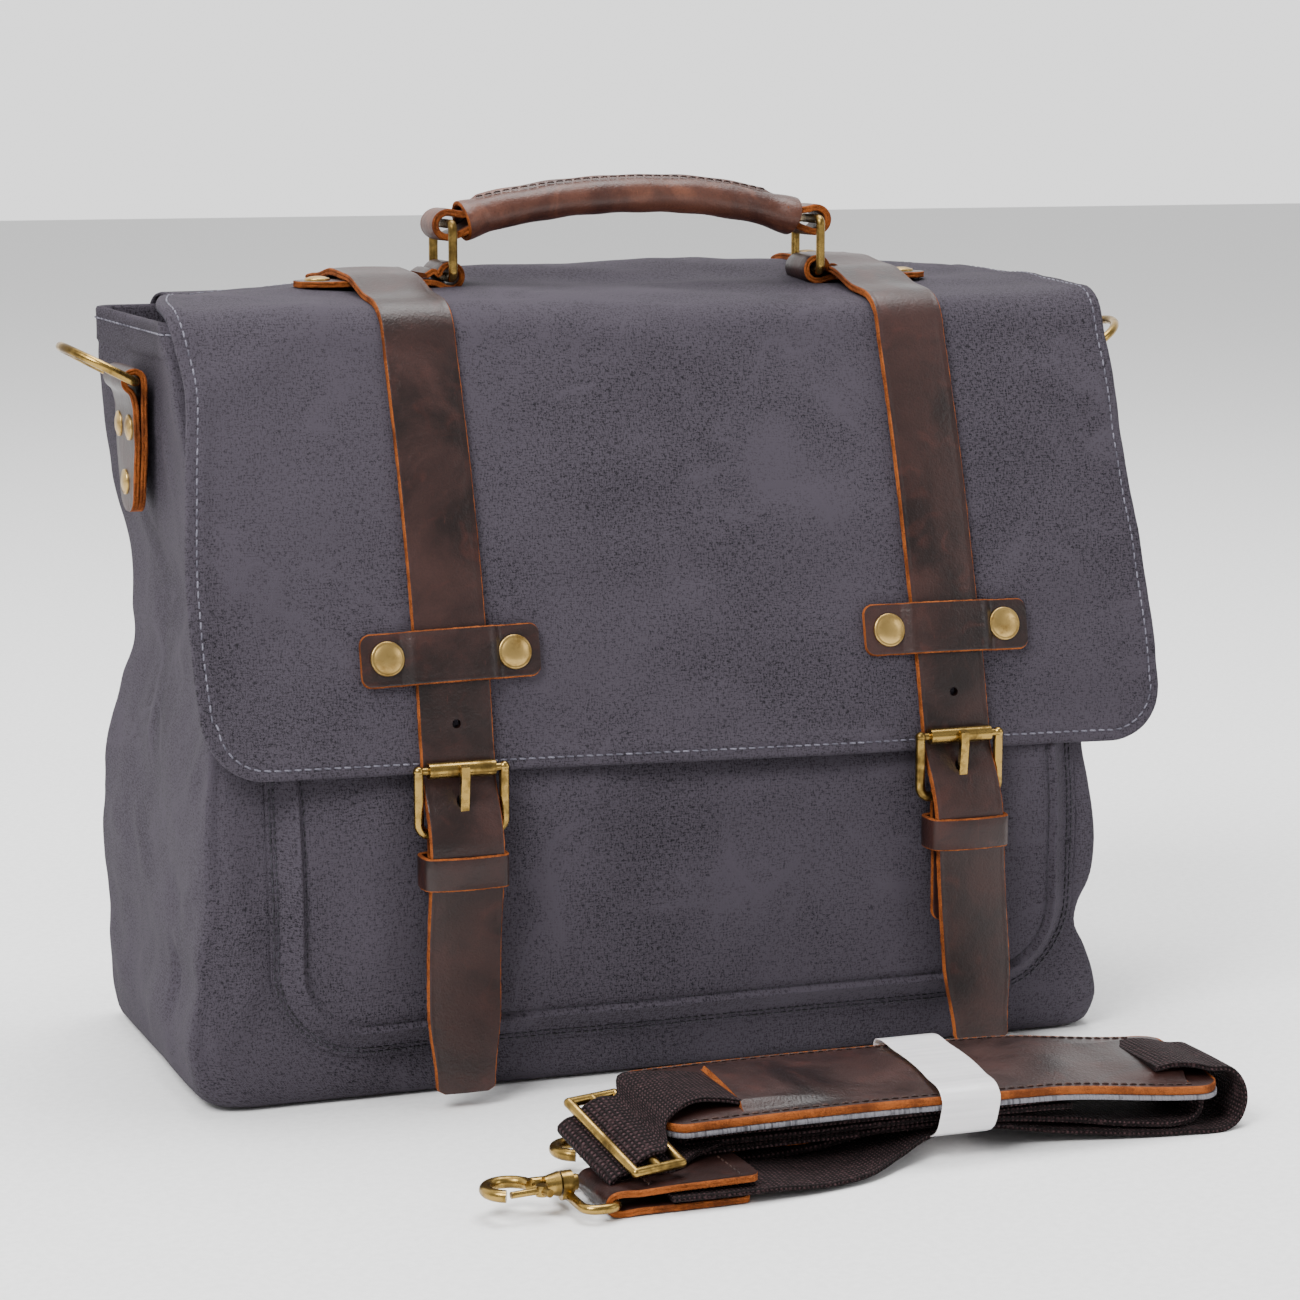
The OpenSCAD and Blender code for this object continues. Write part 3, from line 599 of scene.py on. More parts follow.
def oiled_leather(name, dark, light, worn, gloss, grain=1.0):
    """Tanned hide, oiled so that it pales where it is pulled: cloudy colour, fine pores, a soft sheen."""
    made, tree = new_finish(name)
    where = add(tree, "TexCoord").outputs["Object"]
    clouds = add(
        tree, "TexNoise", {"Vector": where, "Scale": 26.0, "Detail": 6.0, "Roughness": 0.6, "Distortion": 0.6}
    )
    pull = add(tree, "TexNoise", {"Vector": where, "Scale": 70.0, "Detail": 4.0, "Distortion": 1.2})
    pores = add(tree, "TexVoronoi", {"Vector": where, "Scale": 1100.0, "Randomness": 1.0})
    wrinkles = add(tree, "TexNoise", {"Vector": where, "Scale": 420.0, "Detail": 4.0, "Distortion": 0.8})
    scratches = add(tree, "Mapping", {"Vector": where, "Scale": (900.0, 900.0, 40.0), "Rotation": (0.3, 0.2, 0.5)})
    scratches = add(tree, "TexNoise", {"Vector": scratches, "Scale": 1.0, "Detail": 2.0})
    scuff = add(tree, "MapRange", {0: scratches.outputs[0], 1: 0.66, 2: 0.8, 4: 0.5}, **SOFT_RAMP)
    base = add(
        tree, "Mix",
        {0: add(tree, "MapRange", {0: clouds.outputs[0], 1: 0.3, 2: 0.72}, **SOFT_RAMP), 6: dark, 7: light}, **MIXED
    ).outputs[2]
    share = add(
        tree, "Math",
        {0: add(tree, "MapRange", {0: pull.outputs[0], 1: 0.52, 2: 0.78, 4: 0.55}, **SOFT_RAMP), 1: scuff},
        operation="MAXIMUM"
    )
    colour = add(tree, "Mix", {0: share, 6: base, 7: worn}, **MIXED).outputs[2]
    fleck = add(tree, "MapRange", {0: pores.outputs["Distance"], 1: 0.1, 2: 0.7, 3: 0.82, 4: 1.0}, **SOFT_RAMP)
    colour = add(
        tree, "Mix", {0: 1.0, 6: colour, 7: add(tree, "CombineColor", {0: fleck, 1: fleck, 2: fleck})}, **MULTIPLIED
    ).outputs[2]
    rough = add(
        tree, "MapRange", {0: clouds.outputs[0], 1: 0.3, 2: 0.75, 3: gloss - 0.04, 4: gloss + 0.12}, **SOFT_RAMP
    )
    bumps = add(tree, "Bump", {"Height": wrinkles.outputs[0], "Strength": 0.3 * grain, "Distance": 0.0006})
    bumps = add(
        tree, "Bump",
        {"Height": pores.outputs["Distance"], "Strength": 0.22 * grain, "Distance": 0.0003, "Normal": bumps}
    )
    close_finish(
        tree,
        {
            "Base Color": colour, "Roughness": rough, "IOR": 1.5, "Specular IOR Level": 0.36, "Coat Weight": 0.06,
            "Coat Roughness": 0.4, "Normal": bumps
        }
    )
    return made


def raw_leather_edge(look):
    """The undyed, knife-cut core of the hide: tan, matt and hairy with loose fibres."""
    made, tree = new_finish("leather_core_knife_cut")
    where = add(tree, "TexCoord").outputs["Object"]
    fibres = add(
        tree, "TexNoise", {"Vector": where, "Scale": 900.0, "Detail": 5.0, "Roughness": 0.7, "Distortion": 1.5}
    )
    clouds = add(tree, "TexNoise", {"Vector": where, "Scale": 90.0, "Detail": 4.0})
    mixed = add(tree, "Math", {0: fibres.outputs[0], 1: clouds.outputs[0]}, operation="MULTIPLY")
    colour = add(
        tree, "Mix",
        {
            0: add(tree, "MapRange", {0: mixed, 1: 0.14, 2: 0.36}, **SOFT_RAMP), 6: srgb("#5e2f14"),
            7: opaque(look.raw_edge)
        },
        **MIXED
    ).outputs[2]
    bumps = add(tree, "Bump", {"Height": fibres.outputs[0], "Strength": 0.8, "Distance": 0.0008})
    close_finish(
        tree, {"Base Color": colour, "Roughness": 0.92, "IOR": 1.5, "Specular IOR Level": 0.15, "Normal": bumps}
    )
    return made


def aged_brass(name, dark, light, gloss):
    """Brass plating, darkened in a bath and rubbed back: bright worn places, brown in the hollows."""
    made, tree = new_finish(name)
    where = add(tree, "TexCoord").outputs["Object"]
    stain = add(
        tree, "TexNoise", {"Vector": where, "Scale": 210.0, "Detail": 5.0, "Roughness": 0.6, "Distortion": 0.4}
    )
    cloud = add(tree, "TexNoise", {"Vector": where, "Scale": 60.0, "Detail": 3.0})
    both = add(tree, "Math", {0: stain.outputs[0], 1: cloud.outputs[0]}, operation="ADD")
    share = add(tree, "MapRange", {0: both, 1: 0.72, 2: 1.16}, **SOFT_RAMP)
    colour = add(tree, "Mix", {0: share, 6: dark, 7: light}, **MIXED).outputs[2]
    rough = add(tree, "MapRange", {0: share, 1: 0.0, 2: 1.0, 3: gloss + 0.16, 4: gloss}, **SOFT_RAMP)
    bumps = add(tree, "Bump", {"Height": stain.outputs[0], "Strength": 0.08, "Distance": 0.0003})
    close_finish(tree, {"Base Color": colour, "Metallic": 1.0, "Roughness": rough, "Normal": bumps})
    return made


def spun_thread(name, dark, light):
    """Waxed sewing thread, spun from fibres: fine slanting ribs with painted shade in the grooves between them, and a
    dull shine.
    """
    made, tree = new_finish(name)
    cloth = add(tree, "UVMap", uv_map="cloth")
    # the twist is drawn at 0.6 mm a turn, about twice the real one, so that it shows
    turns = add(tree, "TexWave", {"Vector": cloth, "Scale": 520.0, "Distortion": 1.0}, bands_direction="DIAGONAL")
    shade = add(tree, "TexNoise", {"Vector": add(tree, "TexCoord").outputs["Object"], "Scale": 160.0})
    colour = add(
        tree, "Mix",
        {0: add(tree, "MapRange", {0: shade.outputs[0], 1: 0.3, 2: 0.7}, **SOFT_RAMP), 6: dark, 7: light}, **MIXED
    ).outputs[2]
    # painted shade: the colour darkens towards the dark thread in the grooves of the twist, where its bump dips
    colour = add(
        tree, "Mix",
        {
            0: add(tree, "MapRange", {0: turns.outputs[1], 1: 0.0, 2: 0.5, 3: 0.45, 4: 0.0}, **SOFT_RAMP), 6: colour,
            7: dark
        },
        **MIXED
    ).outputs[2]
    bumps = add(tree, "Bump", {"Height": turns.outputs[1], "Strength": 0.4, "Distance": 0.0002})
    close_finish(
        tree, {"Base Color": colour, "Roughness": 0.62, "IOR": 1.5, "Specular IOR Level": 0.4, "Normal": bumps}
    )
    return made


def woven_webbing(look):
    """Heavy cotton webbing in a coarse basket weave: thick dark yarns, painted lighter on their raised tops and with
    painted shade near black in the dips between them, flecked by paler fibres.
    """
    made, tree = new_finish("cotton_webbing_woven")
    yarn, height = weave(tree, 0.0019, 2.0)
    where = add(tree, "TexCoord").outputs["Object"]
    fuzz = add(tree, "TexNoise", {"Vector": where, "Scale": 1400.0, "Detail": 3.0})
    # painted light and shade: the colour runs from near black where the weave dips between the threads to the yarn
    # colour on their raised tops, broken up by fine fibre noise
    painted_light_on_tops = add(tree, "Math", {0: height, 1: fuzz.outputs[0]}, operation="MULTIPLY")
    share = add(tree, "MapRange", {0: painted_light_on_tops, 1: 0.22, 2: 0.58}, **SOFT_RAMP)
    colour = add(tree, "Mix", {0: share, 6: srgb("#150d0e"), 7: opaque(look.webbing)}, **MIXED).outputs[2]
    colour = add(
        tree, "Mix",
        {0: add(tree, "MapRange", {0: yarn, 1: 0.5, 2: 0.75, 4: 0.55}, **SOFT_RAMP), 6: colour, 7: srgb("#4a3436")},
        **MIXED
    ).outputs[2]
    bumps = add(tree, "Bump", {"Height": height, "Strength": 0.9, "Distance": 0.0011})
    bumps = add(tree, "Bump", {"Height": fuzz.outputs[0], "Strength": 0.3, "Distance": 0.0004, "Normal": bumps})
    close_finish(
        tree, {"Base Color": colour, "Roughness": 0.85, "IOR": 1.5, "Specular IOR Level": 0.2, "Normal": bumps}
    )
    return made


def pressed_board():
    """Grey board, pressed from pulp: matt, with small fibres and flecks."""
    made, tree = new_finish("greyboard_pressed")
    where = add(tree, "TexCoord").outputs["Object"]
    pulp = add(tree, "TexNoise", {"Vector": where, "Scale": 700.0, "Detail": 5.0})
    colour = add(
        tree, "Mix",
        {
            0: add(tree, "MapRange", {0: pulp.outputs[0], 1: 0.35, 2: 0.65}, **SOFT_RAMP), 6: srgb("#7d7668"),
            7: srgb("#9a9384")
        },
        **MIXED
    ).outputs[2]
    bumps = add(tree, "Bump", {"Height": pulp.outputs[0], "Strength": 0.3, "Distance": 0.0004})
    close_finish(tree, {"Base Color": colour, "Roughness": 0.9, "Specular IOR Level": 0.2, "Normal": bumps})
    return made


def stretched_film(look):
    """Polyethylene film drawn tight: milky, smooth and shiny, with fine stretch lines."""
    made, tree = new_finish("polyethylene_film_stretched")
    where = add(tree, "TexCoord").outputs["Object"]
    lines = add(tree, "Mapping", {"Vector": where, "Scale": (30.0, 500.0, 400.0)})
    lines = add(tree, "TexNoise", {"Vector": lines, "Scale": 1.0, "Detail": 3.0})
    sag = add(tree, "TexNoise", {"Vector": where, "Scale": 60.0, "Detail": 2.0})
    colour = add(
        tree, "Mix",
        {
            0: add(tree, "MapRange", {0: lines.outputs[0], 1: 0.3, 2: 0.7}, **SOFT_RAMP),
            6: opaque(c * 0.9 for c in look.film), 7: opaque(look.film)
        },
        **MIXED
    ).outputs[2]
    bumps = add(tree, "Bump", {"Height": lines.outputs[0], "Strength": 0.08, "Distance": 0.0005})
    bumps = add(tree, "Bump", {"Height": sag.outputs[0], "Strength": 0.35, "Distance": 0.002, "Normal": bumps})
    close_finish(
        tree,
        {
            "Base Color": colour, "Roughness": 0.16, "IOR": 1.51, "Specular IOR Level": 0.55,
            "Subsurface Weight": 0.1, "Normal": bumps
        }
    )
    return made


def make_finishes(look):
    """Every finish of the bag, by the name that the pieces ask for."""
    canvas = (opaque(look.canvas_dark), opaque(look.canvas_light))
    # thread spacing in metres; the canvas is really about 0.5 mm and is drawn coarser so that it shows
    return {
        "canvas": dyed_canvas(
            "cotton_canvas_waxed", *canvas, look.thread_spacing / 1000, look.crack_marks, 0.72, 0.55
        ),
        "facing": dyed_canvas(
            "cotton_canvas_unwaxed", srgb("#121115"), srgb("#38363e"), look.thread_spacing / 1000, 0.2, 0.85, 0.5
        ),
        "lining": dyed_canvas("cotton_twill_dyed", srgb("#352f26"), srgb("#5f5647"), 0.001, 0.1, 0.88, 0.4),
        "pad_cloth": dyed_canvas("cotton_duck_washed", srgb("#2f2d30"), srgb("#7b797f"), 0.0014, 0.1, 0.9, 0.7),
        "leather": oiled_leather(
            "cowhide_oiled_dark", opaque(look.leather_dark), opaque(look.leather_light), srgb("#42211b"), 0.38
        ),
        "handle": oiled_leather("cowhide_oiled_worn", srgb("#3a1f18"), srgb("#5f3728"), srgb("#7c4c38"), 0.4),
        "edge": raw_leather_edge(look),
        "brass": aged_brass("brass_darkened_rubbed", srgb("#5a4724"), opaque(look.brass), 0.26),
        "cap": aged_brass("brass_polished_caps", srgb("#7d6234"), srgb("#bb9c60"), 0.34),
        "thread": spun_thread("polyester_thread_grey", srgb("#4a4853"), srgb("#7d7b88")),
        "dark_thread": spun_thread("polyester_thread_brown", srgb("#241512"), srgb("#4a322a")),
        "black_thread": spun_thread("polyester_thread_charcoal", srgb("#141317"), srgb("#34323a")),
        "webbing": woven_webbing(look),
        "board": pressed_board(),
        "film": stretched_film(look),
    }


FINISH = {}


SLOT_FINISH = {
    "antique_brass": "brass", "board": "board", "band_film": "film", "lining_cotton": "lining", "webbing": "webbing",
    "pad_canvas": "pad_cloth", "waxed_canvas": "canvas", "handle_leather": "handle", "dark_leather": "leather",
}


def repaint(node, finish):
    """Gives a frame node its detailed finish."""
    mesh = frame["nodes"][node].data
    mesh.materials.clear()
    mesh.materials.append(FINISH[finish])


def link_to(piece, body, nodes, slot):
    """Makes a piece ride on a body and stand for its frame nodes."""
    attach(piece, body)
    if nodes:
        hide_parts(*nodes)
    return piece


# ---- the body's walls ----

LEFT_BACK = ([0, 11, 45, 81, 108, 134, 149, 162, 180, 195, 223, 267, 306],
             [-208, -208.6, -208, -211.4, -209.7, -205, -201, -195.5, -196.3, -195.4, -200.3, -206.9, -208])
LEFT_FRONT = (
    [0, 8, 24, 38, 54, 62, 76, 114, 150, 200, 260, 306],
    [-204, -210, -214.5, -213, -209.5, -210, -207, -206, -203, -201.5, -204, -206]
)
RIGHT_FRONT = (
    [0, 15, 28, 38, 46, 56, 66, 80, 108, 125, 160, 200, 306],
    [183, 184.5, 179, 174, 169.5, 170, 174, 176, 173, 171, 180, 192, 203]
)
RIGHT_BACK = ([0, 30, 70, 120, 160, 200, 240, 306], [189, 192, 194, 190, 186, 190, 198, 205])
GUSSET_FOLDS = (
    ((-8, 264), (-22, 238), 1.6, 6), ((-45, 184), (30, 153), 2.2, 8), ((-40, 205), (40, 178), -3.0, 13),
    ((16, 152), (14, 126), 1.8, 6),
    ((70, 96), (30, 84), 1.8, 7), ((-88, 96), (-54, 76), 1.8, 5), ((-56, 50), (-40, 44), -5.0, 14),
    ((16, 27), (-54, 36), 2.0, 7),
    ((80, 34), (34, 22), 1.6, 7), ((40, 120), (-30, 112), -1.6, 10), ((55, 236), (30, 200), 1.4, 8),
    ((-60, 120), (-76, 150), 1.6, 6),
    ((0, 70), (30, 110), 1.4, 7), ((-25, 92), (-60, 66), -1.8, 8), ((60, 60), (20, 56), -1.5, 9),
)
FRONT_FOLDS = (
    ((-196, 118), (-190, 40), 1.2, 5), ((-202, 70), (-186, 96), -1.2, 5), ((-199, 30), (-184, 62), 1.0, 4),
    ((172, 60), (166, 110), 1.4, 5),
    ((-150, 12), (-60, 9), 1.0, 5), ((-30, 12), (90, 10), -1.0, 6), ((176, 26), (160, 14), 1.4, 5),
)


def front_swell(x, z):
    """How far the body's front stands out from its curve: soft waves, less of them under the flap."""
    x, z = np.broadcast_arrays(np.asarray(x, float), np.asarray(z, float))
    place = np.stack([x, 0 * x + 9, z], -1)
    out = (1.3 * cloth_noise(place, 70, 11) + 0.7 * cloth_noise(place, 28, 12)) * (1 - 0.6 * smooth(z, 110, 150))
    for start, end, depth, width in FRONT_FOLDS:
        out = out + fold(x, z, start, end, depth, width)
    return out * smooth(z, 0, 14) * (1 - smooth(z, RIM_Z - 30, RIM_Z - 8))


def front_at(x, z, off=0.0):
    """The point on the body's front at x and z, off out from it."""
    x, z = np.broadcast_arrays(np.asarray(x, float), np.asarray(z, float))
    return np.stack([x, foot_curve(z) - front_swell(x, z) - off, z], -1)


def wall_ring(z, inset):
    """A closed ring of the body's wall at height z, moved in by inset: points, outward directions, places."""
    corner = 7.0 + 9 * (1 - smooth(z, 0, 40))
    back_y = BACK_Y + 0.4 - inset
    front_y = float(foot_curve(z)) + inset
    spots = [(float(spline(z, *LEFT_BACK)) + inset, back_y), (float(spline(z, *LEFT_FRONT)) + inset, front_y),
             (float(spline(z, *RIGHT_FRONT)) - inset, front_y), (float(spline(z, *RIGHT_BACK)) - inset, back_y)]
    spots = np.array([spots[3], spots[0], spots[1], spots[2]])
    points, where = [], []
    for k, count in enumerate((70, 72, 150, 48)):
        a, b, c = spots[k], spots[(k + 1) % 4], spots[(k + 2) % 4]
        ab, bc = unit(b - a), unit(c - b)
        for t in np.linspace(0, 1, count):
            points.append(a + ab * corner + (b - a - 2 * corner * ab) * t)
            where.append(k + 0.94 * t)
        for t in np.linspace(0, 1, 10)[1:-1]:
            points.append((1 - t) ** 2 * (b - ab * corner) + 2 * t * (1 - t) * b + t * t * (b + bc * corner))
            where.append(k + 0.94 + 0.06 * t)
    points, where = np.array(points), np.array(where)
    tangent = unit(np.roll(points, -1, 0) - np.roll(points, 1, 0))
    out = np.stack([tangent[:, 1], -tangent[:, 0]], -1)
    return points, out, where


def wall(levels):
    """Rings of the body's wall for a list of (height, inset), with the gussets' folds and the cloth's waves."""
    rows = []
    for z, inset in levels:
        ring, out, where = wall_ring(min(z, RIM_Z), inset)
        high = min(z, RIM_Z)
        y = ring[:, 1]
        swell = np.zeros(len(ring))
        side, t = where.astype(int), where % 1 / 0.94
        place = np.stack([ring[:, 0], y, np.full(len(y), high)], -1)
        wave = 1.5 * cloth_noise(place, 60, 21) + 0.7 * cloth_noise(place, 24, 22) + 0.2 * cloth_noise(place, 10, 23)
        keep = smooth(high, 0, 16) * (1 - 0.8 * smooth(high, RIM_Z - 30, RIM_Z - 6))
        flat = np.clip(t, 0, 1)
        for k, flip in ((1, 1), (3, -1)):
            on = side == k
            sway = np.zeros(on.sum())
            for start, end, depth, width in GUSSET_FOLDS:
                sway += fold(y[on], high + (0 if flip > 0 else 6), start, end, depth, width)
            middle = np.sin(np.pi * flat[on])
            bow = -7.0 * middle * smooth(high, 150, RIM_Z) - 3 * bump(high - 180, 40) * middle
            tab = 4.5 * bump(y[on] - 18, 26) * smooth(high, 205, 240) * (1 - smooth(high, 286, 303))
            swell[on] = (sway + wave[on]) * keep + bow + tab
        on = side == 0
        swell[on] = (wave[on] + 2.0 * np.sin(np.pi * flat[on]) * np.sin(np.pi * high / RIM_Z)) * keep
        on = side == 2
        swell[on] = front_swell(ring[on, 0], high)
        seam = np.minimum(np.abs(where - 1.97), np.abs(where - 2.97))
        swell += 1.3 * bump(seam, 0.012) * smooth(high, 4, 14) * (1 - smooth(high, RIM_Z - 14, RIM_Z - 4))
        hem = 0.9 * smooth(high, RIM_Z - 14.5, RIM_Z - 13)
        dip = 2.2 * np.where((side == 1) | (side == 3), np.sin(np.pi * flat), 0) * smooth(high, RIM_Z - 60, RIM_Z)
        ring = ring + out * (swell + hem)[:, None]
        rows.append(np.concatenate([ring, (z - dip)[:, None]], 1))
    return np.stack(rows)


def close_foot(ring, shares=(0.12, 0.35, 0.65, 1.0), lift=0.5):
    """Rings that close the bottom towards its middle line."""
    middle = ring.copy()
    middle[:, 0] = np.clip(ring[:, 0], -120, 100)
    middle[:, 1] = 0
    middle[:, 2] = ring[0, 2] + lift
    return [ring + (middle - ring) * k for k in shares]


def cloth_round(rows):
    """Cloth coordinates for closed rings: distance round them, and up."""
    step = np.linalg.norm(np.diff(rows, axis=1, append=rows[:, :1]), axis=2)
    middle = step[len(step) // 2]
    along = np.concatenate([[0], np.cumsum(middle)])[: rows.shape[1]]
    up = np.concatenate([[0], np.cumsum(np.linalg.norm(np.diff(rows, axis=0), axis=2).mean(1))])
    return np.stack(np.broadcast_arrays(along[None, :], up[:, None]), -1)


def closed(rows):
    """The rows with their first column again at the end."""
    return np.concatenate([rows, rows[:, :1]], 1)


# ---- what a user would change ----


def colour_setting(name, description, text):
    """A colour that the user can change, from its sRGB hex value."""
    return bpy.props.FloatVectorProperty(
        name=name, description=description, default=srgb(text)[:3], subtype="COLOR", min=0, max=1
    )


class BagLook(bpy.types.PropertyGroup):
    """Sizes and colours of the bag's finishes."""

    canvas_dark: colour_setting("Canvas, dark yarn", "Colour in the cloth's shade", "#0b0a0e")
    canvas_light: colour_setting("Canvas, light yarn", "Colour where the wax has cracked", "#464149")
    thread_spacing: bpy.props.FloatProperty(
        name="Thread spacing", description="Distance between the canvas threads, in millimetres", default=0.65,
        min=0.3, max=3
    )
    crack_marks: bpy.props.FloatProperty(
        name="Cracked wax", description="How strongly the pale marks show", default=0.85, min=0, max=1,
        subtype="FACTOR"
    )
    leather_dark: colour_setting("Leather, dark", "Straps, keepers and tabs", "#160c0b")
    leather_light: colour_setting("Leather, pulled", "Where the hide is bent or pulled", "#341c18")
    raw_edge: colour_setting("Leather core", "The cut edges of the leather", "#9a5426")
    brass: colour_setting("Brass", "Rubbed places on the metal", "#a08348")
    # the yarn colour of the webbing; its finish shows it on the raised tops of the threads and paints shade near
    # black between them
    webbing: colour_setting("Webbing", "Yarn of the shoulder strap", "#4b3538")
    film: colour_setting("Tie band", "Film band round the folded strap", "#f3eeee")


class BagSewing(bpy.types.PropertyGroup):
    """Sizes of the sewing."""

    pitch: bpy.props.FloatProperty(
        name="Stitch pitch", description="From one stitch to the next, in millimetres", default=4.0, min=2, max=8
    )
    length: bpy.props.FloatProperty(
        name="Stitch length", description="Length of one stitch, in millimetres", default=3.1, min=1, max=6
    )
    width: bpy.props.FloatProperty(
        name="Thread width", description="Width of the thread, in millimetres", default=0.75, min=0.3, max=1.5
    )
    hem: bpy.props.FloatProperty(
        name="Hem distance", description="From the flap's edge to its stitching, in millimetres", default=4.4, min=2,
        max=12
    )


class BagStudio(bpy.types.PropertyGroup):
    """The camera and the lights."""

    lens: bpy.props.FloatProperty(
        name="Lens", description="Focal length on a 36 mm sensor", default=98.3, min=20, max=300, unit="CAMERA"
    )
    eye: bpy.props.FloatVectorProperty(
        name="Camera place", description="Where the camera stands", default=(-0.510, -1.406, 0.400),
        subtype="TRANSLATION", unit="LENGTH"
    )
    aim: bpy.props.FloatVectorProperty(
        name="Camera turn", description="The camera's rotation",
        default=(math.radians(80.9), 0.0, math.radians(-20.3)), subtype="EULER", unit="ROTATION"
    )
    key: bpy.props.FloatProperty(
        name="Key light", description="Power of the large light at the upper left", default=104.0, min=0, max=500,
        unit="POWER"
    )
    fill: bpy.props.FloatProperty(
        name="Room", description="Strength of the even light in front", default=0.45, min=0, max=5
    )
    wall: bpy.props.FloatProperty(
        name="Wall", description="Strength of the white wall behind", default=1.7, min=0, max=8
    )


class BAG_OT_stage(bpy.types.Operator):
    """Floor, lights and camera"""

    bl_idname = "bag.stage"
    bl_label = "Stage"

    def execute(self, context):
        scene, studio = context.scene, context.scene.bag_studio
        cam = bpy.data.objects.new("camera", bpy.data.cameras.new("camera"))
        cam.data.lens, cam.data.sensor_width = studio.lens, 36.0
        cam.data.clip_start, cam.data.clip_end = 0.05, 100.0
        cam.location, cam.rotation_euler = studio.eye, studio.aim
        scene.collection.objects.link(cam)
        scene.camera = cam

        made, tree = new_finish("paper_backdrop_matt")
        where = add(tree, "TexCoord").outputs["Object"]
        fibre = add(tree, "TexNoise", {"Vector": where, "Scale": 300.0, "Detail": 3.0})
        tone = add(
            tree, "Mix",
            {
                0: add(tree, "MapRange", {0: fibre.outputs[0], 1: 0.3, 2: 0.7}, **SOFT_RAMP), 6: srgb("#f3f3f3"),
                7: srgb("#fafafa")
            },
            **MIXED
        ).outputs[2]
        close_finish(tree, {"Base Color": tone, "Roughness": 0.9, "Specular IOR Level": 0.1})
        floor = Mesh()
        x = np.linspace(-9000, 9000, 25)
        floor.grid(np.stack(np.broadcast_arrays(x[None, :], x[:, None], -0.3 + 0 * x[:, None]), -1), 0)
        floor = floor.build("floor", [made])

        world = bpy.data.worlds.new("studio")
        world.use_nodes = True
        shade = world.node_tree.nodes["Background"]
        shade.inputs["Color"].default_value = srgb("#ffffff")
        # a bright wall behind the bag and a dimmer room in front of it
        sky = add(world.node_tree, "SeparateXYZ", {0: add(world.node_tree, "TexCoord").outputs["Generated"]})
        wall = add(
            world.node_tree, "MapRange", {0: sky.outputs[1], 1: -0.1, 2: 0.6, 3: studio.fill, 4: studio.wall},
            **SOFT_RAMP
        )
        world.node_tree.links.new(wall.outputs[0], shade.inputs["Strength"])
        scene.world = world
        for name, place, size, power in (
            ("key", (-1.7, -1.3, 2.3), 1.5, studio.key),
            ("top", (0.3, 0.3, 2.6), 1.8, studio.key * 0.7),
            ("side", (2.0, -1.6, 1.2), 1.2, studio.key * 0.12),
        ):
            lamp = bpy.data.lights.new(name, "AREA")
            lamp.shape, lamp.size, lamp.energy = "DISK", size, power
            lamp = bpy.data.objects.new(name, lamp)
            lamp.location = place
            lamp.rotation_euler = (Vector((0, 0, 0.15)) - Vector(place)).to_track_quat("-Z", "Y").to_euler()
            scene.collection.objects.link(lamp)
        return {"FINISHED"}


class BAG_OT_finishes(bpy.types.Operator):
    """Makes the finishes and gives the metal parts theirs"""

    bl_idname = "bag.finishes"
    bl_label = "Finishes"

    def execute(self, context):
        FINISH.update(make_finishes(context.scene.bag_look))
        for part in frame["record"]["subparts"]:
            repaint(part["node"], SLOT_FINISH[part["material_slot"]])
        return {"FINISHED"}


class BAG_OT_body(bpy.types.Operator):
    """Canvas shell of the bag: front, gussets, back and bottom, with a turned rim"""

    bl_idname = "bag.body"
    bl_label = "Body shell"

    def execute(self, context):
        stitch = stitch_size(context)
        low = [(0.2, 7.0), (0.5, 4.6), (1.4, 2.4), (3.0, 1.0), (5.2, 0.3), (8.0, 0.0)]
        body = [(z, 0.0) for z in np.arange(11.0, RIM_Z - 16, 2.9)]
        hem = [(RIM_Z - d, 0.0) for d in (15, 14, 13, 10.5, 8, 6, 4, 2, 0.6)]
        rim = [
            (RIM_Z + 0.5, 0.5), (RIM_Z + 0.8, 1.5), (RIM_Z + 0.5, 2.6), (RIM_Z - 0.8, 3.2), (RIM_Z - 6, 3.3),
            (RIM_Z - 20, 3.4)
        ]
        rows = wall(low + body + hem + rim)
        rows = np.concatenate([np.stack(close_foot(rows[0]))[::-1], rows])
        rows = closed(rows)
        shell = Mesh()
        shell.grid(rows, 0, cloth_round(rows))
        near = wall([(RIM_Z - 4.0, -0.15)])[0]
        loop = closed(near[None])[0]
        out = unit(
            np.concatenate([np.stack([np.gradient(loop[:, 1]), -np.gradient(loop[:, 0])], -1), 0 * loop[:, :1]], 1)
        )
        add_stitches(shell, loop, out, 1, *stitch)
        shell = shell.build("body_shell", [FINISH["canvas"], FINISH["thread"]], merge=0.02, sharp=50)
        link_to(
            shell, "bag", ["back_panel", "front_panel", "gusset_left", "gusset_right", "bottom_panel"], "waxed_canvas"
        )
        return {"FINISHED"}


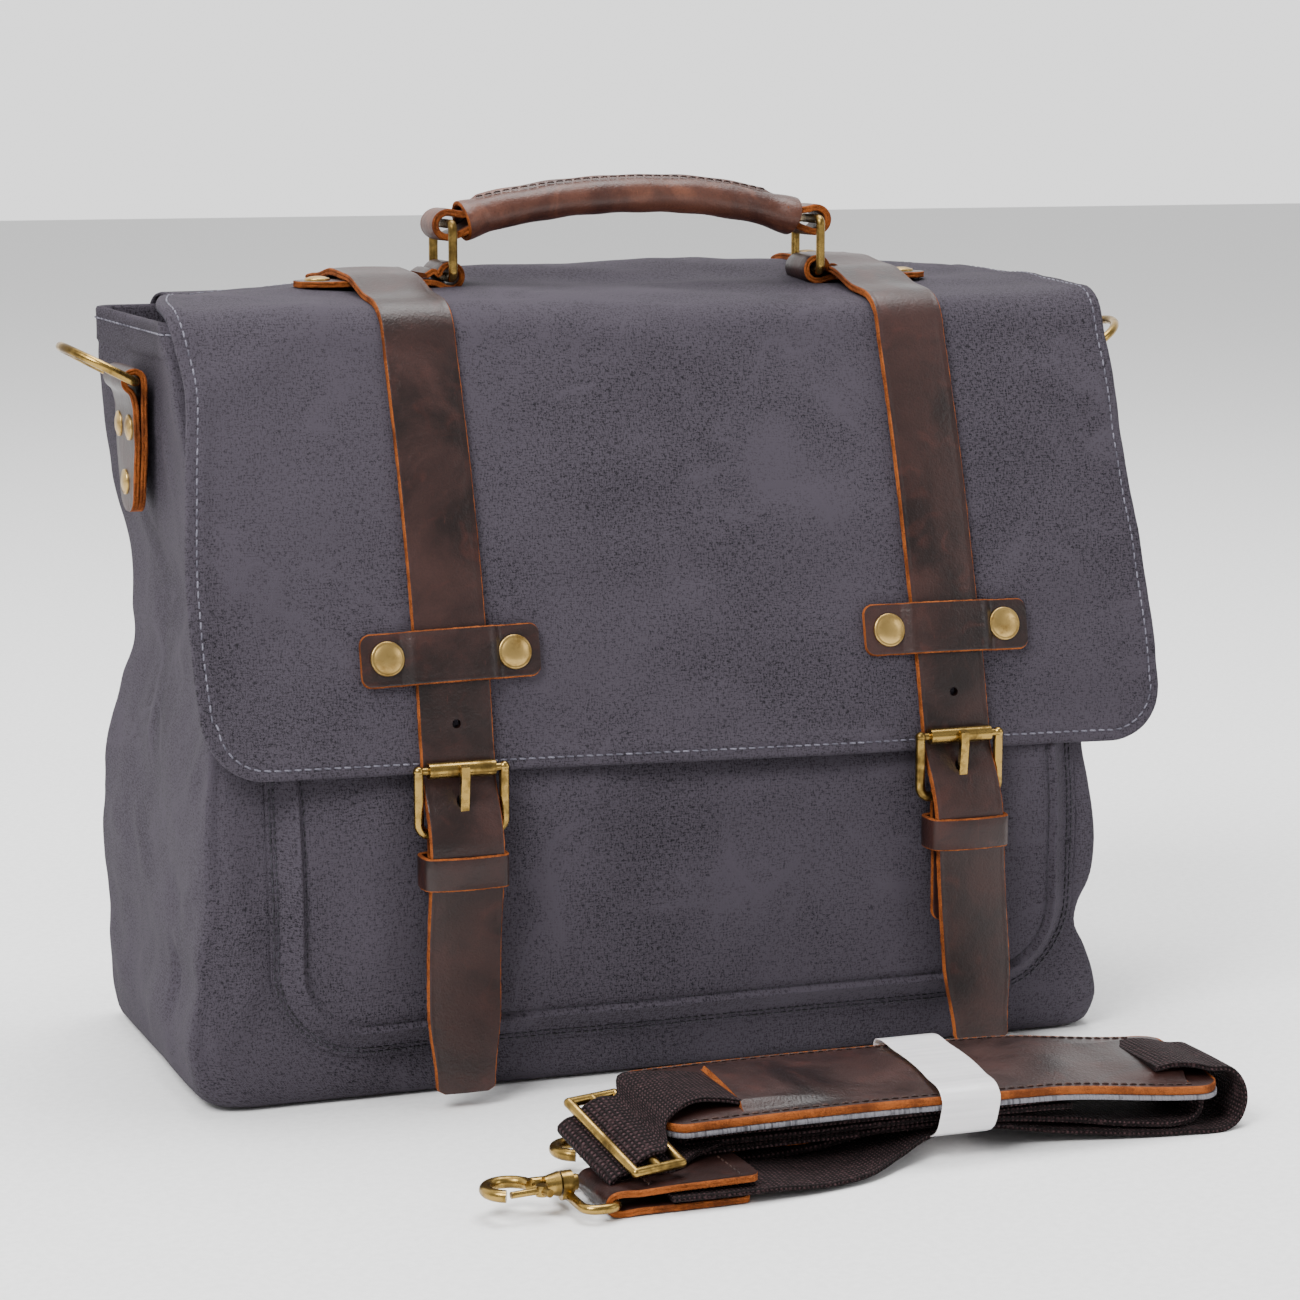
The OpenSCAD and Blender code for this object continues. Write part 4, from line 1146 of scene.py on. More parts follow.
class BAG_OT_inside(bpy.types.Operator):
    """Lining, padded divider, slip pocket and bottom board"""

    bl_idname = "bag.inside"
    bl_label = "Inside"

    def execute(self, context):
        stitch = stitch_size(context)
        levels = [
            (RIM_Z - 15, 3.9), (RIM_Z - 16, 4.5), (RIM_Z - 20, 4.6)
        ] + [(z, 4.6) for z in np.arange(RIM_Z - 28, 12, -7.5)] + [(7, 5.5), (4.6, 9)]
        rows = wall(levels)
        rows = closed(np.concatenate([rows, np.stack(close_foot(rows[-1], lift=0.0))]))
        lining = Mesh()
        lining.grid(rows, 0, cloth_round(rows), turn=False)
        lining = lining.build("lining_cloth", [FINISH["lining"]], merge=0.02)
        link_to(lining, "bag", ["lining"], "lining_cotton")

        divider_low, divider_high = box_mm("laptop_divider")
        board_low, board_high = box_mm("base_board")
        x0, x1 = -188.0, 170.0
        board = Mesh()
        slab(
            board, (x0, x1), (board_low[1] + 6, divider_low[1] - 2), (board_low[2] + 2.4, board_high[2] + 2.4), 14, 0
        )
        board = board.build("bottom_board", [FINISH["board"]])
        link_to(board, "bag", ["base_board"], "board")

        pad = Mesh()
        quilted(
            pad, (x0 + 3, x1 + 2), (board_high[2] + 3, divider_high[2]), (divider_low[1] + divider_high[1]) / 2,
            divider_high[1] - divider_low[1]
        )
        rim = [(x, 0, divider_high[2] - 9) for x in np.linspace(x0 + 8, x1 - 4, 60)]
        rim = np.array(rim) + [0, divider_low[1] - 0.5, 0]
        add_stitches(pad, rim, (0, -1.0, 0), 1, *stitch)
        pad = pad.build("laptop_divider_pad", [FINISH["lining"], FINISH["thread"]], merge=0.02)
        link_to(pad, "bag", ["laptop_divider"], "lining_cotton")

        slip_low, slip_high = box_mm("inner_pocket")
        slip = Mesh()
        x = np.linspace(slip_low[0], slip_high[0], 50)
        z = np.linspace(slip_low[2], slip_high[2], 34)
        gx, gz = np.meshgrid(x, z)
        rise = np.minimum(np.minimum(gx - x[0], x[-1] - gx), gz - z[0])
        off = 0.7 + 2.2 * smooth(rise, 2, 30) + 0.5 * cloth_noise(np.stack([gx, gz, 0 * gx], -1), 30, 31)
        y = divider_low[1] - off
        slip.grid(np.stack([gx, y, gz], -1), 0)
        slip.grid(np.stack([gx, y + 0.6, gz], -1), 0, turn=True)
        edge = np.stack([gx[-1], y[-1], gz[-1]], -1)
        slip.grid(np.stack([edge, edge + [0, 0.3, 0.3], edge + [0, 0.6, 0]]), 0)
        add_stitches(slip, edge - [0, 0.1, 5], (0, -1.0, 0), 1, *stitch)
        slip = slip.build("slip_pocket", [FINISH["lining"], FINISH["thread"]], merge=0.02)
        link_to(slip, "bag", ["inner_pocket"], "lining_cotton")
        # cut twice as deep as the pocket and folded double along its mouth
        return {"FINISHED"}


def slab(mesh, xs, ys, zs, corner, finish):
    """A board with rounded corners and softened edges."""
    a = np.linspace(0, np.pi / 2, 7)
    outline = []
    for cx, cy, turn in ((xs[1], ys[1], 0), (xs[0], ys[1], 1), (xs[0], ys[0], 2), (xs[1], ys[0], 3)):
        sx, sy = (1, 1) if turn == 0 else (-1, 1) if turn == 1 else (-1, -1) if turn == 2 else (1, -1)
        for k in a:
            t = k + turn * np.pi / 2
            outline.append((cx - sx * corner + corner * math.cos(t), cy - sy * corner + corner * math.sin(t)))
    outline = np.array(outline)
    middle = outline.mean(0)
    rings = []
    for z, inset in ((zs[0], 0.6), (zs[0] + 0.4, 0), (zs[1] - 0.4, 0), (zs[1], 0.6)):
        ring = outline + unit(middle - outline) * inset
        rings.append(np.concatenate([ring, np.full((len(ring), 1), z)], 1))
    n = len(outline)
    points = np.concatenate(rings)
    faces = [tuple(range(n))[::-1]]
    faces += [
        (k * n + j, k * n + (j + 1) % n, k * n + n + (j + 1) % n, k * n + n + j)
        for k in range(3)
        for j in range(n)
    ]
    faces.append(tuple(range(3 * n, 4 * n)))
    mesh.add(points, faces, finish, points[:, :2])


def quilted(mesh, xs, zs, y, thick):
    """A foam panel covered in cloth, sewn in upright channels."""
    x = np.linspace(xs[0], xs[1], 150)
    z = np.linspace(zs[0], zs[1], 60)
    gx, gz = np.meshgrid(x, z)
    rise = np.minimum(np.minimum(gx - x[0], x[-1] - gx), np.minimum(gz - z[0], z[-1] - gz))
    full = np.sqrt(np.clip(rise / 6, 0, 1))
    channel = 1 - 0.4 * bump((gx - xs[0]) % 60 - 30, 3.0)
    half = thick / 2 * full * channel + 0.2
    for sign in (-1, 1):
        mesh.grid(np.stack([gx, y + sign * half * (rise > 0), gz], -1), 0, turn=sign > 0)


def sheet_places(low, high, step):
    """Rows between low and high, close together at both ends for the sheet's edge and rounded corners."""
    near = np.array([0, 0.15, 0.45, 0.9, 1.5, 2.3, 3.3, 4.4, 5.6, 7.2, 9.2, 11.6, 14.5, 18, 22])
    top = np.arange(low + near[-1] + step, high - near[-1], step)
    return np.unique(np.concatenate([low + near, top, high - near]))


def edge_distance(left, right, low, radius, top=None):
    """How far a point is inside a sheet with rounded lower corners, from its distance to each side."""
    side = np.minimum(left, right)
    d = np.minimum(side, low)
    inside = (side < radius) & (low < radius)
    arc = radius - np.hypot(radius - np.clip(side, 0, radius), radius - np.clip(low, 0, radius))
    d = np.where(inside, arc, d)
    return d if top is None else np.minimum(d, top)


def corner_inset(low, radius):
    """How far a rounded lower corner draws the sheet's side in, at that distance above its lower edge."""
    d = np.clip(low, 0, radius)
    return radius - np.sqrt(np.maximum(radius**2 - (radius - d) ** 2, 0))


POCKET_X = -8.0


def pocket_rise(x, z, d):
    """How far the pocket's cloth stands off the body: a flat seam, a sloping wall, a ridge, a soft face."""
    under_flap = smooth(z, 118, 134)
    wall_top = 7.0 - 1.6 * under_flap
    rise = 1.1 + (wall_top - 1.1) * smooth(d, 3.6, 11.2)
    rise += 1.7 * bump(d - 11.6, 1.1)
    rise -= 1.3 * bump(d - 13.8, 1.2)
    place = np.stack([x, 0 * x, z], -1)
    soft = smooth(d, 13, 60)
    free = 1 - 0.8 * bump(np.abs(x) - STRAP_X, 26)
    rise += soft * free * (1 - 0.8 * under_flap) * (
        1.6 + 1.6 * cloth_noise(place, 62, 41) + 0.9 * cloth_noise(place, 24, 42)
    )
    for start, end, depth, width in (
        ((-70, 112), (-30, 62), 1.3, 7), ((60, 116), (20, 72), 1.2, 7), ((-10, 60), (44, 44), 1.0, 8),
        ((-84, 50), (-40, 38), 1.0, 7),
        ((-150, 100), (-138, 60), 1.0, 6), ((130, 112), (146, 70), 1.2, 6), ((74, 96), (82, 50), 0.9, 6),
        ((-40, 100), (10, 92), -0.9, 8),
    ):
        rise += fold(x, z, start, end, depth, width) * soft * (1 - under_flap)
    return rise


class BAG_OT_pocket(bpy.types.Operator):
    """Patch pocket on the front, with a narrow side wall sewn on by a double seam"""

    bl_idname = "bag.pocket"
    bl_label = "Front pocket"

    def execute(self, context):
        sewing = context.scene.bag_sewing
        half = (POCKET_HIGH[0] - POCKET_LOW[0]) / 2
        low, high, radius = POCKET_LOW[2] - 3, POCKET_HIGH[2], 40.0
        near = np.array([
            0, 0.15, 0.5, 1, 1.6, 2.4, 3.6, 5, 6.5, 8, 9.4, 10.4, 11, 11.6, 12.2, 12.9, 13.8, 15, 17, 20, 24, 29, 34,
            40
        ])
        z = np.unique(np.concatenate([low + near, np.arange(low + 44, high - 3, 3.0), [high - 1.2, high]]))
        inner = np.linspace(16, 2 * half - 16, 110)
        across = np.unique(np.concatenate([near[near < 15.5], inner, 2 * half - near[near < 15.5]]))
        gz, share = np.meshgrid(z, across / (2 * half), indexing="ij")
        draw = corner_inset(gz - low, radius)
        side = draw + share * (2 * half - 2 * draw)
        gx = POCKET_X - half + side
        d = edge_distance(side, 2 * half - side, gz - low, radius)
        rise = pocket_rise(gx, gz, d)
        thick = 1.6 * np.sqrt(np.clip(d / 1.2, 0, 1))
        front = front_at(gx, gz, rise)
        back = front_at(gx, gz, np.maximum(rise - thick, 0.1))
        pocket = Mesh()
        flat = np.stack([gx, gz], -1)
        pocket.grid(front, 0, flat)
        pocket.grid(back, 0, flat, turn=True)
        pocket.grid(np.stack([front[-1], (front[-1] + back[-1]) / 2 + [0, 0, 0.6], back[-1]]), 0)

        def seam(inset, lift):
            """The line round the pocket's sides and foot at that inset and lift."""
            r = radius - inset
            zs = np.arange(high - 2, low + radius, -2.0)
            a = np.linspace(0, np.pi / 2, 30)
            xs = np.linspace(-half + radius, half - radius, 160)
            left = np.stack([np.full(len(zs), -half + inset), zs], -1)
            turn = np.stack([-half + radius - r * np.cos(a), low + radius - r * np.sin(a)], -1)
            base = np.stack([xs, np.full(len(xs), low + inset)], -1)
            line = np.concatenate([left, turn[1:], base[1:-1], turn[::-1] * [-1, 1], left[::-1] * [-1, 1]])
            dist = np.full(len(line), float(inset))
            px = line[:, 0] + POCKET_X
            return front_at(
                px, line[:, 1], pocket_rise(px, line[:, 1], dist) + lift
            ), np.tile([0, -1.0, 0], (len(line), 1))

        for inset in (1.7, 3.4):
            path, out = seam(inset, 0.05)
            add_stitches(pocket, path, out, 1, sewing.pitch * 0.8, sewing.length * 0.8, sewing.width * 0.85)
        path, out = seam(14.2, 0.0)
        add_stitches(pocket, path, out, 1, sewing.pitch, sewing.length, sewing.width * 0.7)
        pocket = pocket.build("front_pocket", [FINISH["canvas"], FINISH["black_thread"]], merge=0.02, sharp=60)
        link_to(pocket, "bag", ["pocket_front", "pocket_gusset"], "waxed_canvas")
        return {"FINISHED"}


FLAP_LEFT = ([0, 50, 122, 160, 200, 240, 275, 310, 345], [-178, -190, -207, -203.5, -207, -210, -209, -206.5, -206])
FLAP_RIGHT = ([0, 50, 118, 160, 200, 240, 275, 310, 345], [184, 193, 197, 197.3, 198, 200, 202, 203.5, 203.5])
FLAP_RADIUS = 23.0


def flap_low_run(u):
    """How far along the flap's line its lower edge lies, from u = 0 at the left to 1 at the right."""
    return run_at_z(FLAP_LOW[2]) - 6.0 + 7.5 * u


def flap_grid(start, step=3.2, columns=150):
    """Places x and run all over the flap from start down to its lower edge, and each one's distance from the edge."""
    total = flap_low_run(0.5) - start
    along = sheet_places(0, total, step) / total
    near = np.array([0, 0.15, 0.45, 0.9, 1.5, 2.3, 3.3, 4.4, 5.6, 7.2, 9.2, 12])
    width = 406.0
    across = np.unique(np.concatenate([near, np.linspace(14, width - 14, columns), width - near])) / width
    v, u = np.meshgrid(along, across, indexing="ij")
    s = start + v * (flap_low_run(u) - start)
    left, right = spline(s, *FLAP_LEFT), spline(s, *FLAP_RIGHT)
    low = flap_low_run(u) - s
    draw = corner_inset(low, FLAP_RADIUS)
    x = left + draw + u * (right - left - 2 * draw)
    d = edge_distance(x - left, right - x, low, FLAP_RADIUS, s - start)
    return x, s, d


def flap_hem_line(inset, start):
    """The line at that distance inside the flap's edge: down the left side, along the bottom and up the right."""
    s = np.arange(start + 3, flap_low_run(0.0) - FLAP_RADIUS, 2.0)
    left = np.stack([spline(s, *FLAP_LEFT) + inset, s], -1)
    a = np.linspace(0, np.pi / 2, 24)
    r = FLAP_RADIUS - inset
    x0, x1 = float(spline(345, *FLAP_LEFT)) + FLAP_RADIUS, float(spline(345, *FLAP_RIGHT)) - FLAP_RADIUS
    turn = np.stack([x0 - r * np.cos(a), flap_low_run(0.03) - FLAP_RADIUS + r * np.sin(a)], -1)
    x = np.linspace(x0, x1, 200)
    base = np.stack([x, flap_low_run((x + 206) / 410) - inset], -1)
    turn2 = np.stack([x1 + r * np.sin(a), flap_low_run(0.97) - FLAP_RADIUS + r * np.cos(a)], -1)
    s = np.arange(flap_low_run(1.0) - FLAP_RADIUS - 1, start + 3, -2.0)
    right = np.stack([spline(s, *FLAP_RIGHT) - inset, s], -1)
    line = np.concatenate([left, turn, base[1:-1], turn2, right])
    line[1:-1] = (line[:-2] + line[1:-1] * 2 + line[2:]) / 4
    return line


class BAG_OT_flap(bpy.types.Operator):
    """The flap: two layers of canvas with a turned and stitched edge, bending over the back edge and the ridge"""

    bl_idname = "bag.flap"
    bl_label = "Flap"

    def execute(self, context):
        sewing = context.scene.bag_sewing
        stitch = stitch_size(context)
        start = run_at_y(76)
        x, s, d = flap_grid(start)
        swell = np.maximum(flap_swell(x, s), -1.4 - 3 * (s < run_at_y(RIDGE_Y)))
        turned = 0.9 * (1 - smooth(d, 8.4, 9.6)) - 0.5 * bump(d - sewing.hem, 1.3)
        half = (1.5 + 0.45 * (1 - smooth(d, 8.4, 9.6))) * np.sqrt(
            np.clip(1 - (1 - np.clip(d / 1.4, 0, 1)) ** 2, 0, 1)
        )
        edge_wave = (1 - smooth(d, 0, 7)) * 0.35 * cloth_noise(np.stack([x, s, 0 * x], -1), 9, 51)
        middle = swell + turned * 0.5 + edge_wave - 1.5
        outer = flap_at(x, s, 0, middle + half)
        inner = flap_at(x, s, 0, middle - half)
        flap = Mesh()
        cloth = np.stack([x, s], -1)
        flap.grid(outer, 0, cloth, turn=True)
        flap.grid(inner, 1, cloth)
        line = flap_hem_line(sewing.hem, start)
        sw = np.maximum(flap_swell(line[:, 0], line[:, 1]), -1.4 - 3 * (line[:, 1] < run_at_y(RIDGE_Y)))
        path = flap_at(line[:, 0], line[:, 1], 0, sw + 0.62)
        add_stitches(flap, path, flap_normal(line[:, 1]), 2, *stitch)
        for away in (3.2, 8.0):
            xs = np.linspace(float(spline(start, *FLAP_LEFT)) + 4, float(spline(start, *FLAP_RIGHT)) - 4, 160)
            path = flap_at(xs, start + away, 0.45)
            add_stitches(flap, path, np.tile(flap_normal(start + away), (160, 1)), 2, *stitch)
        flap = flap.build("flap", [FINISH["canvas"], FINISH["facing"], FINISH["thread"]], merge=0.02, sharp=60)
        ridge_spots()[0]
        ridge_spots()[1]
        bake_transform(flap)
        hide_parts("flap_front", "flap_facing", "flap_top")

        yoke = Mesh()
        rim = [
            (1.6, RIM_Z - 36), (1.7, RIM_Z - 20), (1.8, RIM_Z - 4), (0.4, TOP_EDGE_Z - 1.5), (-3.5, TOP_EDGE_Z + 0.1)
        ]
        rim += [(-9, top_z(BACK_Y - 9) - 1.0), (-15, top_z(BACK_Y - 15) - 1.9)]
        path = curve_through([(BACK_Y + y, z) for y, z in rim], 1.2)
        xs = np.unique(
            np.concatenate([
                -178 + np.array([0, 0.4, 1.2, 2.4, 4, 7]), np.linspace(-168, 176, 110),
                184 - np.array([0, 0.4, 1.2, 2.4, 4, 7])
            ])
        )
        tangent = unit(np.gradient(path, axis=0))
        gx, gi = np.meshgrid(xs, np.arange(len(path)))
        away = np.minimum(np.minimum(gx - xs[0], xs[-1] - gx), np.minimum(gi, len(path) - 1 - gi) * 1.2)
        half = 0.9 * np.sqrt(np.clip(1 - (1 - np.clip(away / 1.4, 0, 1)) ** 2, 0, 1))
        wave = 0.5 * cloth_noise(np.stack([gx, gi * 1.2, 0 * gx], -1), 40, 55)
        wide = 1 + 0.1 * (1 - gi / len(path))
        for sign in (1, -1):
            h = sign * half + wave
            points = np.stack([gx * wide, path[gi, 0] + tangent[gi, 1] * h, path[gi, 1] - tangent[gi, 0] * h], -1)
            yoke.grid(points, 0, np.stack([gx, gi * 1.2], -1), turn=sign < 0)
        for k in (3, 7):
            line = np.stack(
                [xs * wide[k, 0], np.full(len(xs), path[k, 0] + tangent[k, 1] * 0.95), np.full(len(xs), path[k, 1])],
                -1
            )
            line[:, 1] += wave[k]
            add_stitches(yoke, line, np.tile([0, 1.0, 0], (len(xs), 1)), 1, *stitch)
        yoke = yoke.build("flap_yoke", [FINISH["canvas"], FINISH["thread"]], merge=0.02, sharp=60)
        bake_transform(yoke)
        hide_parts("back_yoke")
        return {"FINISHED"}


def ridge_spots():
    """Where the cloth starts and ends its bend over the front ridge, in metres."""
    a, b = flap_at(0, run_at_y(RIDGE_Y + 15), 0, 0), flap_at(0, run_at_y(RIDGE_Y + 15) + 34, 0, 0)
    return tuple(a / 1000), tuple(b / 1000)


# ---- straps and closures ----

# where each strap's middle lies at a few heights: the right one leans outwards towards its end
STRAP_LEAN = {-1: ([0, 60, 100, 150, 180, 330], [-107.4, -107.8, -107.2, -107, -107, -107]),
              1: ([0, 60, 100, 150, 180, 330], [117.5, 112.5, 108.5, 107, 106, 107])}


def strap_mid(side, z):
    """The x of the strap centre at height z."""
    return spline(z, *STRAP_LEAN[side])


class BAG_OT_straps(bpy.types.Operator):
    """Leather straps over the flap, their keepers and rivets"""

    bl_idname = "bag.straps"
    bl_label = "Straps and keepers"

    def execute(self, context):
        for side_name, side in SIDES:
            end = run_at_z(KEEPER_Z - 2.5)
            s = np.arange(run_at_y(70), end, 2.0)
            y = np.interp(s, RUN, LINE_Y)
            top = s < run_at_y(RIDGE_Y)
            hump = np.where(top, smooth(y, 12 - 38, 12 - 11) * (1 - smooth(y, 12 + 11, 12 + 38)), 0)
            mid = strap_mid(side, np.interp(s, RUN, LINE[:, 1]))
            swell = flap_swell(mid, s)
            path = flap_at(mid, s, 0, swell + 0.3 + STRAP_T / 2 + 4.2 * hump)
            half = rounded_half(s, STRAP_HALF, 6, (True, False))
            strap = Mesh()
            add_band(strap, path, (-1, 0, 0), half, STRAP_T, crown=0.35)
            add_rivet(strap, path[5] + flap_normal(s[5]) * STRAP_T / 2, flap_normal(s[5]), SMALL_CAP, 1.7, 2)
            strap = strap.build("strap_" + side_name, [FINISH["leather"], FINISH["edge"], FINISH["brass"]])
            ridge_spots()[0]
            ridge_spots()[1]
            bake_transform(strap)
            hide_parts("strap_top_" + side_name, "strap_front_" + side_name)

            keeper_low, keeper_high = box_mm("keeper_" + side_name)
            long = keeper_high[0] - keeper_low[0] + 2
            run = dense_ends(long, 1.2, 4.0)
            mid = float(strap_mid(side, KEEPER_Z))
            px = run - long / 2
            over = 1 - smooth(np.abs(px), STRAP_HALF + 0.5, STRAP_HALF + 5.5)
            s0 = run_at_z(KEEPER_Z)
            swell = float(flap_swell(mid, s0))
            lift = 0.5 + 1.1 + over * (STRAP_T + 0.2) + 0.5 * bump(px, 12)
            path = flap_at(px + mid, s0, 0, swell + lift)
            path[:, 2] += 0.02 * px * (1 if side < 0 else -0.5)
            ty, tz = np.interp(s0, RUN, SLOPE[:, 0]), np.interp(s0, RUN, SLOPE[:, 1])
            keeper = Mesh()
            add_band(keeper, path, (0, ty, tz), rounded_half(run, KEEPER_HALF, 4.0), KEEPER_T, crown=0.1)
            keeper = keeper.build("keeper_" + side_name, [FINISH["leather"], FINISH["edge"]])
            link_to(keeper, "flap_front", ["keeper_" + side_name], "dark_leather")
            caps = Mesh()
            out = flap_normal(s0)
            for px in (-26, 26):
                spot = flap_at(mid + px, s0, 0, swell + 0.5 + KEEPER_T)
                add_rivet(caps, spot, out, LARGE_CAP, 1.9)
            caps = caps.build("keeper_rivets_" + side_name, [FINISH["cap"]], sharp=60)
            link_to(caps, "flap_front", ["keeper_rivets"], "antique_brass")
        return {"FINISHED"}


class BAG_OT_closures(bpy.types.Operator):
    """Strap ends through the roller buckles, with their loops, folded buckle leathers and magnetic snaps"""

    bl_idname = "bag.closures"
    bl_label = "Closures"

    def execute(self, context):
        by, rz = ROLLER[1], ROLLER[2]
        for side_name, side in SIDES:
            upper = [flap_at(0, run_at_z(z), 0.3 + STRAP_T / 2, 0) for z in (175.2, 168, 161, 154, 147)]
            swell = float(flap_swell(side * STRAP_X, run_at_z(160)))
            line = [(p[1] - swell * w, p[2]) for p, w in zip(upper, (1, 1, 0.8, 0.6, 0.4))]
            through = ((5.0, 3), (4.6, -3), (1.5, -10), (-4.0, -19), (-7.2, -28), (-7.9, -38), (-6.4, -50))
            below = ((-4.6, 70), (-3.6, 45), (-3.6, 22), (-4.0, TAIL_END_Z + 1))
            line += [(by + y, rz + z) for y, z in through] + [(by + y, z) for y, z in below]
            flat = curve_through(line, 1.5)
            z = flat[:, 1]
            path = np.stack([strap_mid(side, z), flat[:, 0], z], -1)
            run = length_along(path)
            away = run[-1] - run
            taper = STRAP_HALF - 2.8 * (1 - smooth(away, 2, 34))
            half = np.minimum(
                taper, rounded_half(run, STRAP_HALF - 2.8, 3.2, (False, True)) + 2.8 * smooth(away, 3.2, 34)
            )
            tail = Mesh()
            add_band(tail, path, (-1, 0, 0), half, STRAP_T, crown=0.35)
            tail = tail.build("strap_end_" + side_name, [FINISH["leather"], FINISH["edge"]])
            hole = Mesh()
            points, faces = drum((strap_mid(side, 152), -100, 152), (0, 1, 0), [1.8, 1.8], [-20, 20], 20)
            hole.add(points, faces, 0)
            slot = Mesh()
            points, faces = drum((side * STRAP_X, by, rz - 12.5), (0, 1, 0), [2.7, 2.7], [-14, 14], 20)
            slot.add(points, faces, 0)
            cut(tail, [hole, slot])
            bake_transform(tail)
            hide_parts("strap_tail_" + side_name)

            bar = HEEL_Z
            x = side * STRAP_X
            a = np.radians(np.arange(-10, 191, 10))
            over = np.stack([by - 3.15 * np.cos(a), bar + 3.15 * np.sin(a)], -1)
            flat = np.concatenate([
                [(by - 3.0, bar - 19), (by - 3.1, bar - 9)], over,
                [(by + 2.7, bar - 12), (by + 1.6, bar - 24), (by + 1.4, bar - 36), (by + 1.4, bar - 53)]
            ])
            flat = curve_through(flat, 1.2)
            path = np.stack([np.full(len(flat), x + (2.0 if side > 0 else 0)), flat[:, 0], flat[:, 1]], -1)
            run = length_along(path)
            chape = Mesh()
            add_band(chape, path, (-1, 0, 0), rounded_half(run, 13.2, 5, (False, True)), BUCKLE_LEATHER_T, crown=0.0)
            chape = chape.build("buckle_leather_" + side_name, [FINISH["leather"], FINISH["edge"]])
            slot = Mesh()
            points, faces = drum((x, by, bar + 3), (0, 0, 1), [2.9, 2.9], [-6, 6], 20)
            slot.add(points, faces, 0)
            cut(chape, [slot])
            link_to(chape, "closure_" + side_name, ["chape_" + side_name], "dark_leather")

            low, high = box_mm("keeper_loop_" + side_name)
            cx = float(strap_mid(side, (low[2] + high[2]) / 2))
            hw, y0, y1, r = (high[0] - low[0]) / 2 - 0.9, low[1] + 0.4, high[1] - 0.9, 3.4
            a = np.radians(np.arange(0, 91, 15))
            ring = []
            for sx, cy, t0 in ((1, y1 - r, 0), (-1, y1 - r, 90), (-1, y0 + r, 180), (1, y0 + r, 270)):
                for k in a:
                    t = k + math.radians(t0)
                    ring.append((cx + sx * (hw - r) + r * math.cos(t), cy + r * math.sin(t)))
            ring = np.array(ring)
            ring = curve_through(np.concatenate([ring, ring[:1]]), 1.0)
            bow = 0.9 * bump(ring[:, 0] - cx, 14) * (ring[:, 1] < (y0 + y1) / 2)
            path = np.stack([ring[:, 0], ring[:, 1] - bow, np.full(len(ring), (low[2] + high[2]) / 2)], -1)
            loop = Mesh()
            add_band(loop, path, (0, 0, 1), (high[2] - low[2]) / 2, BUCKLE_LEATHER_T, crown=0.15, crease=False)
            loop = loop.build("strap_loop_" + side_name, [FINISH["leather"], FINISH["edge"]])
            link_to(loop, "closure_" + side_name, ["keeper_loop_" + side_name], "dark_leather")

        snaps = Mesh()
        socket_low, socket_high = box_mm("snap_sockets")
        r = (socket_high[2] - socket_low[2]) / 2
        sz = (socket_high[2] + socket_low[2]) / 2
        for _, side in SIDES:
            points, faces = drum(
                (side * STRAP_X, socket_high[1], sz), (0, -1, 0), [r, r, r - 0.5, r - 2.4, r - 3, 4.4, 4, 1.5, 0.3],
                [0, 1.0, 1.5, 1.5, 0.9, 0.9, 1.7, 1.9, 1.9], 40
            )
            snaps.add(points, faces, 0)
        snaps = snaps.build("snap_sockets", [FINISH["brass"]], sharp=35)
        link_to(snaps, "bag", ["snap_sockets"], "antique_brass")
        return {"FINISHED"}


# ---- handle and rings ----


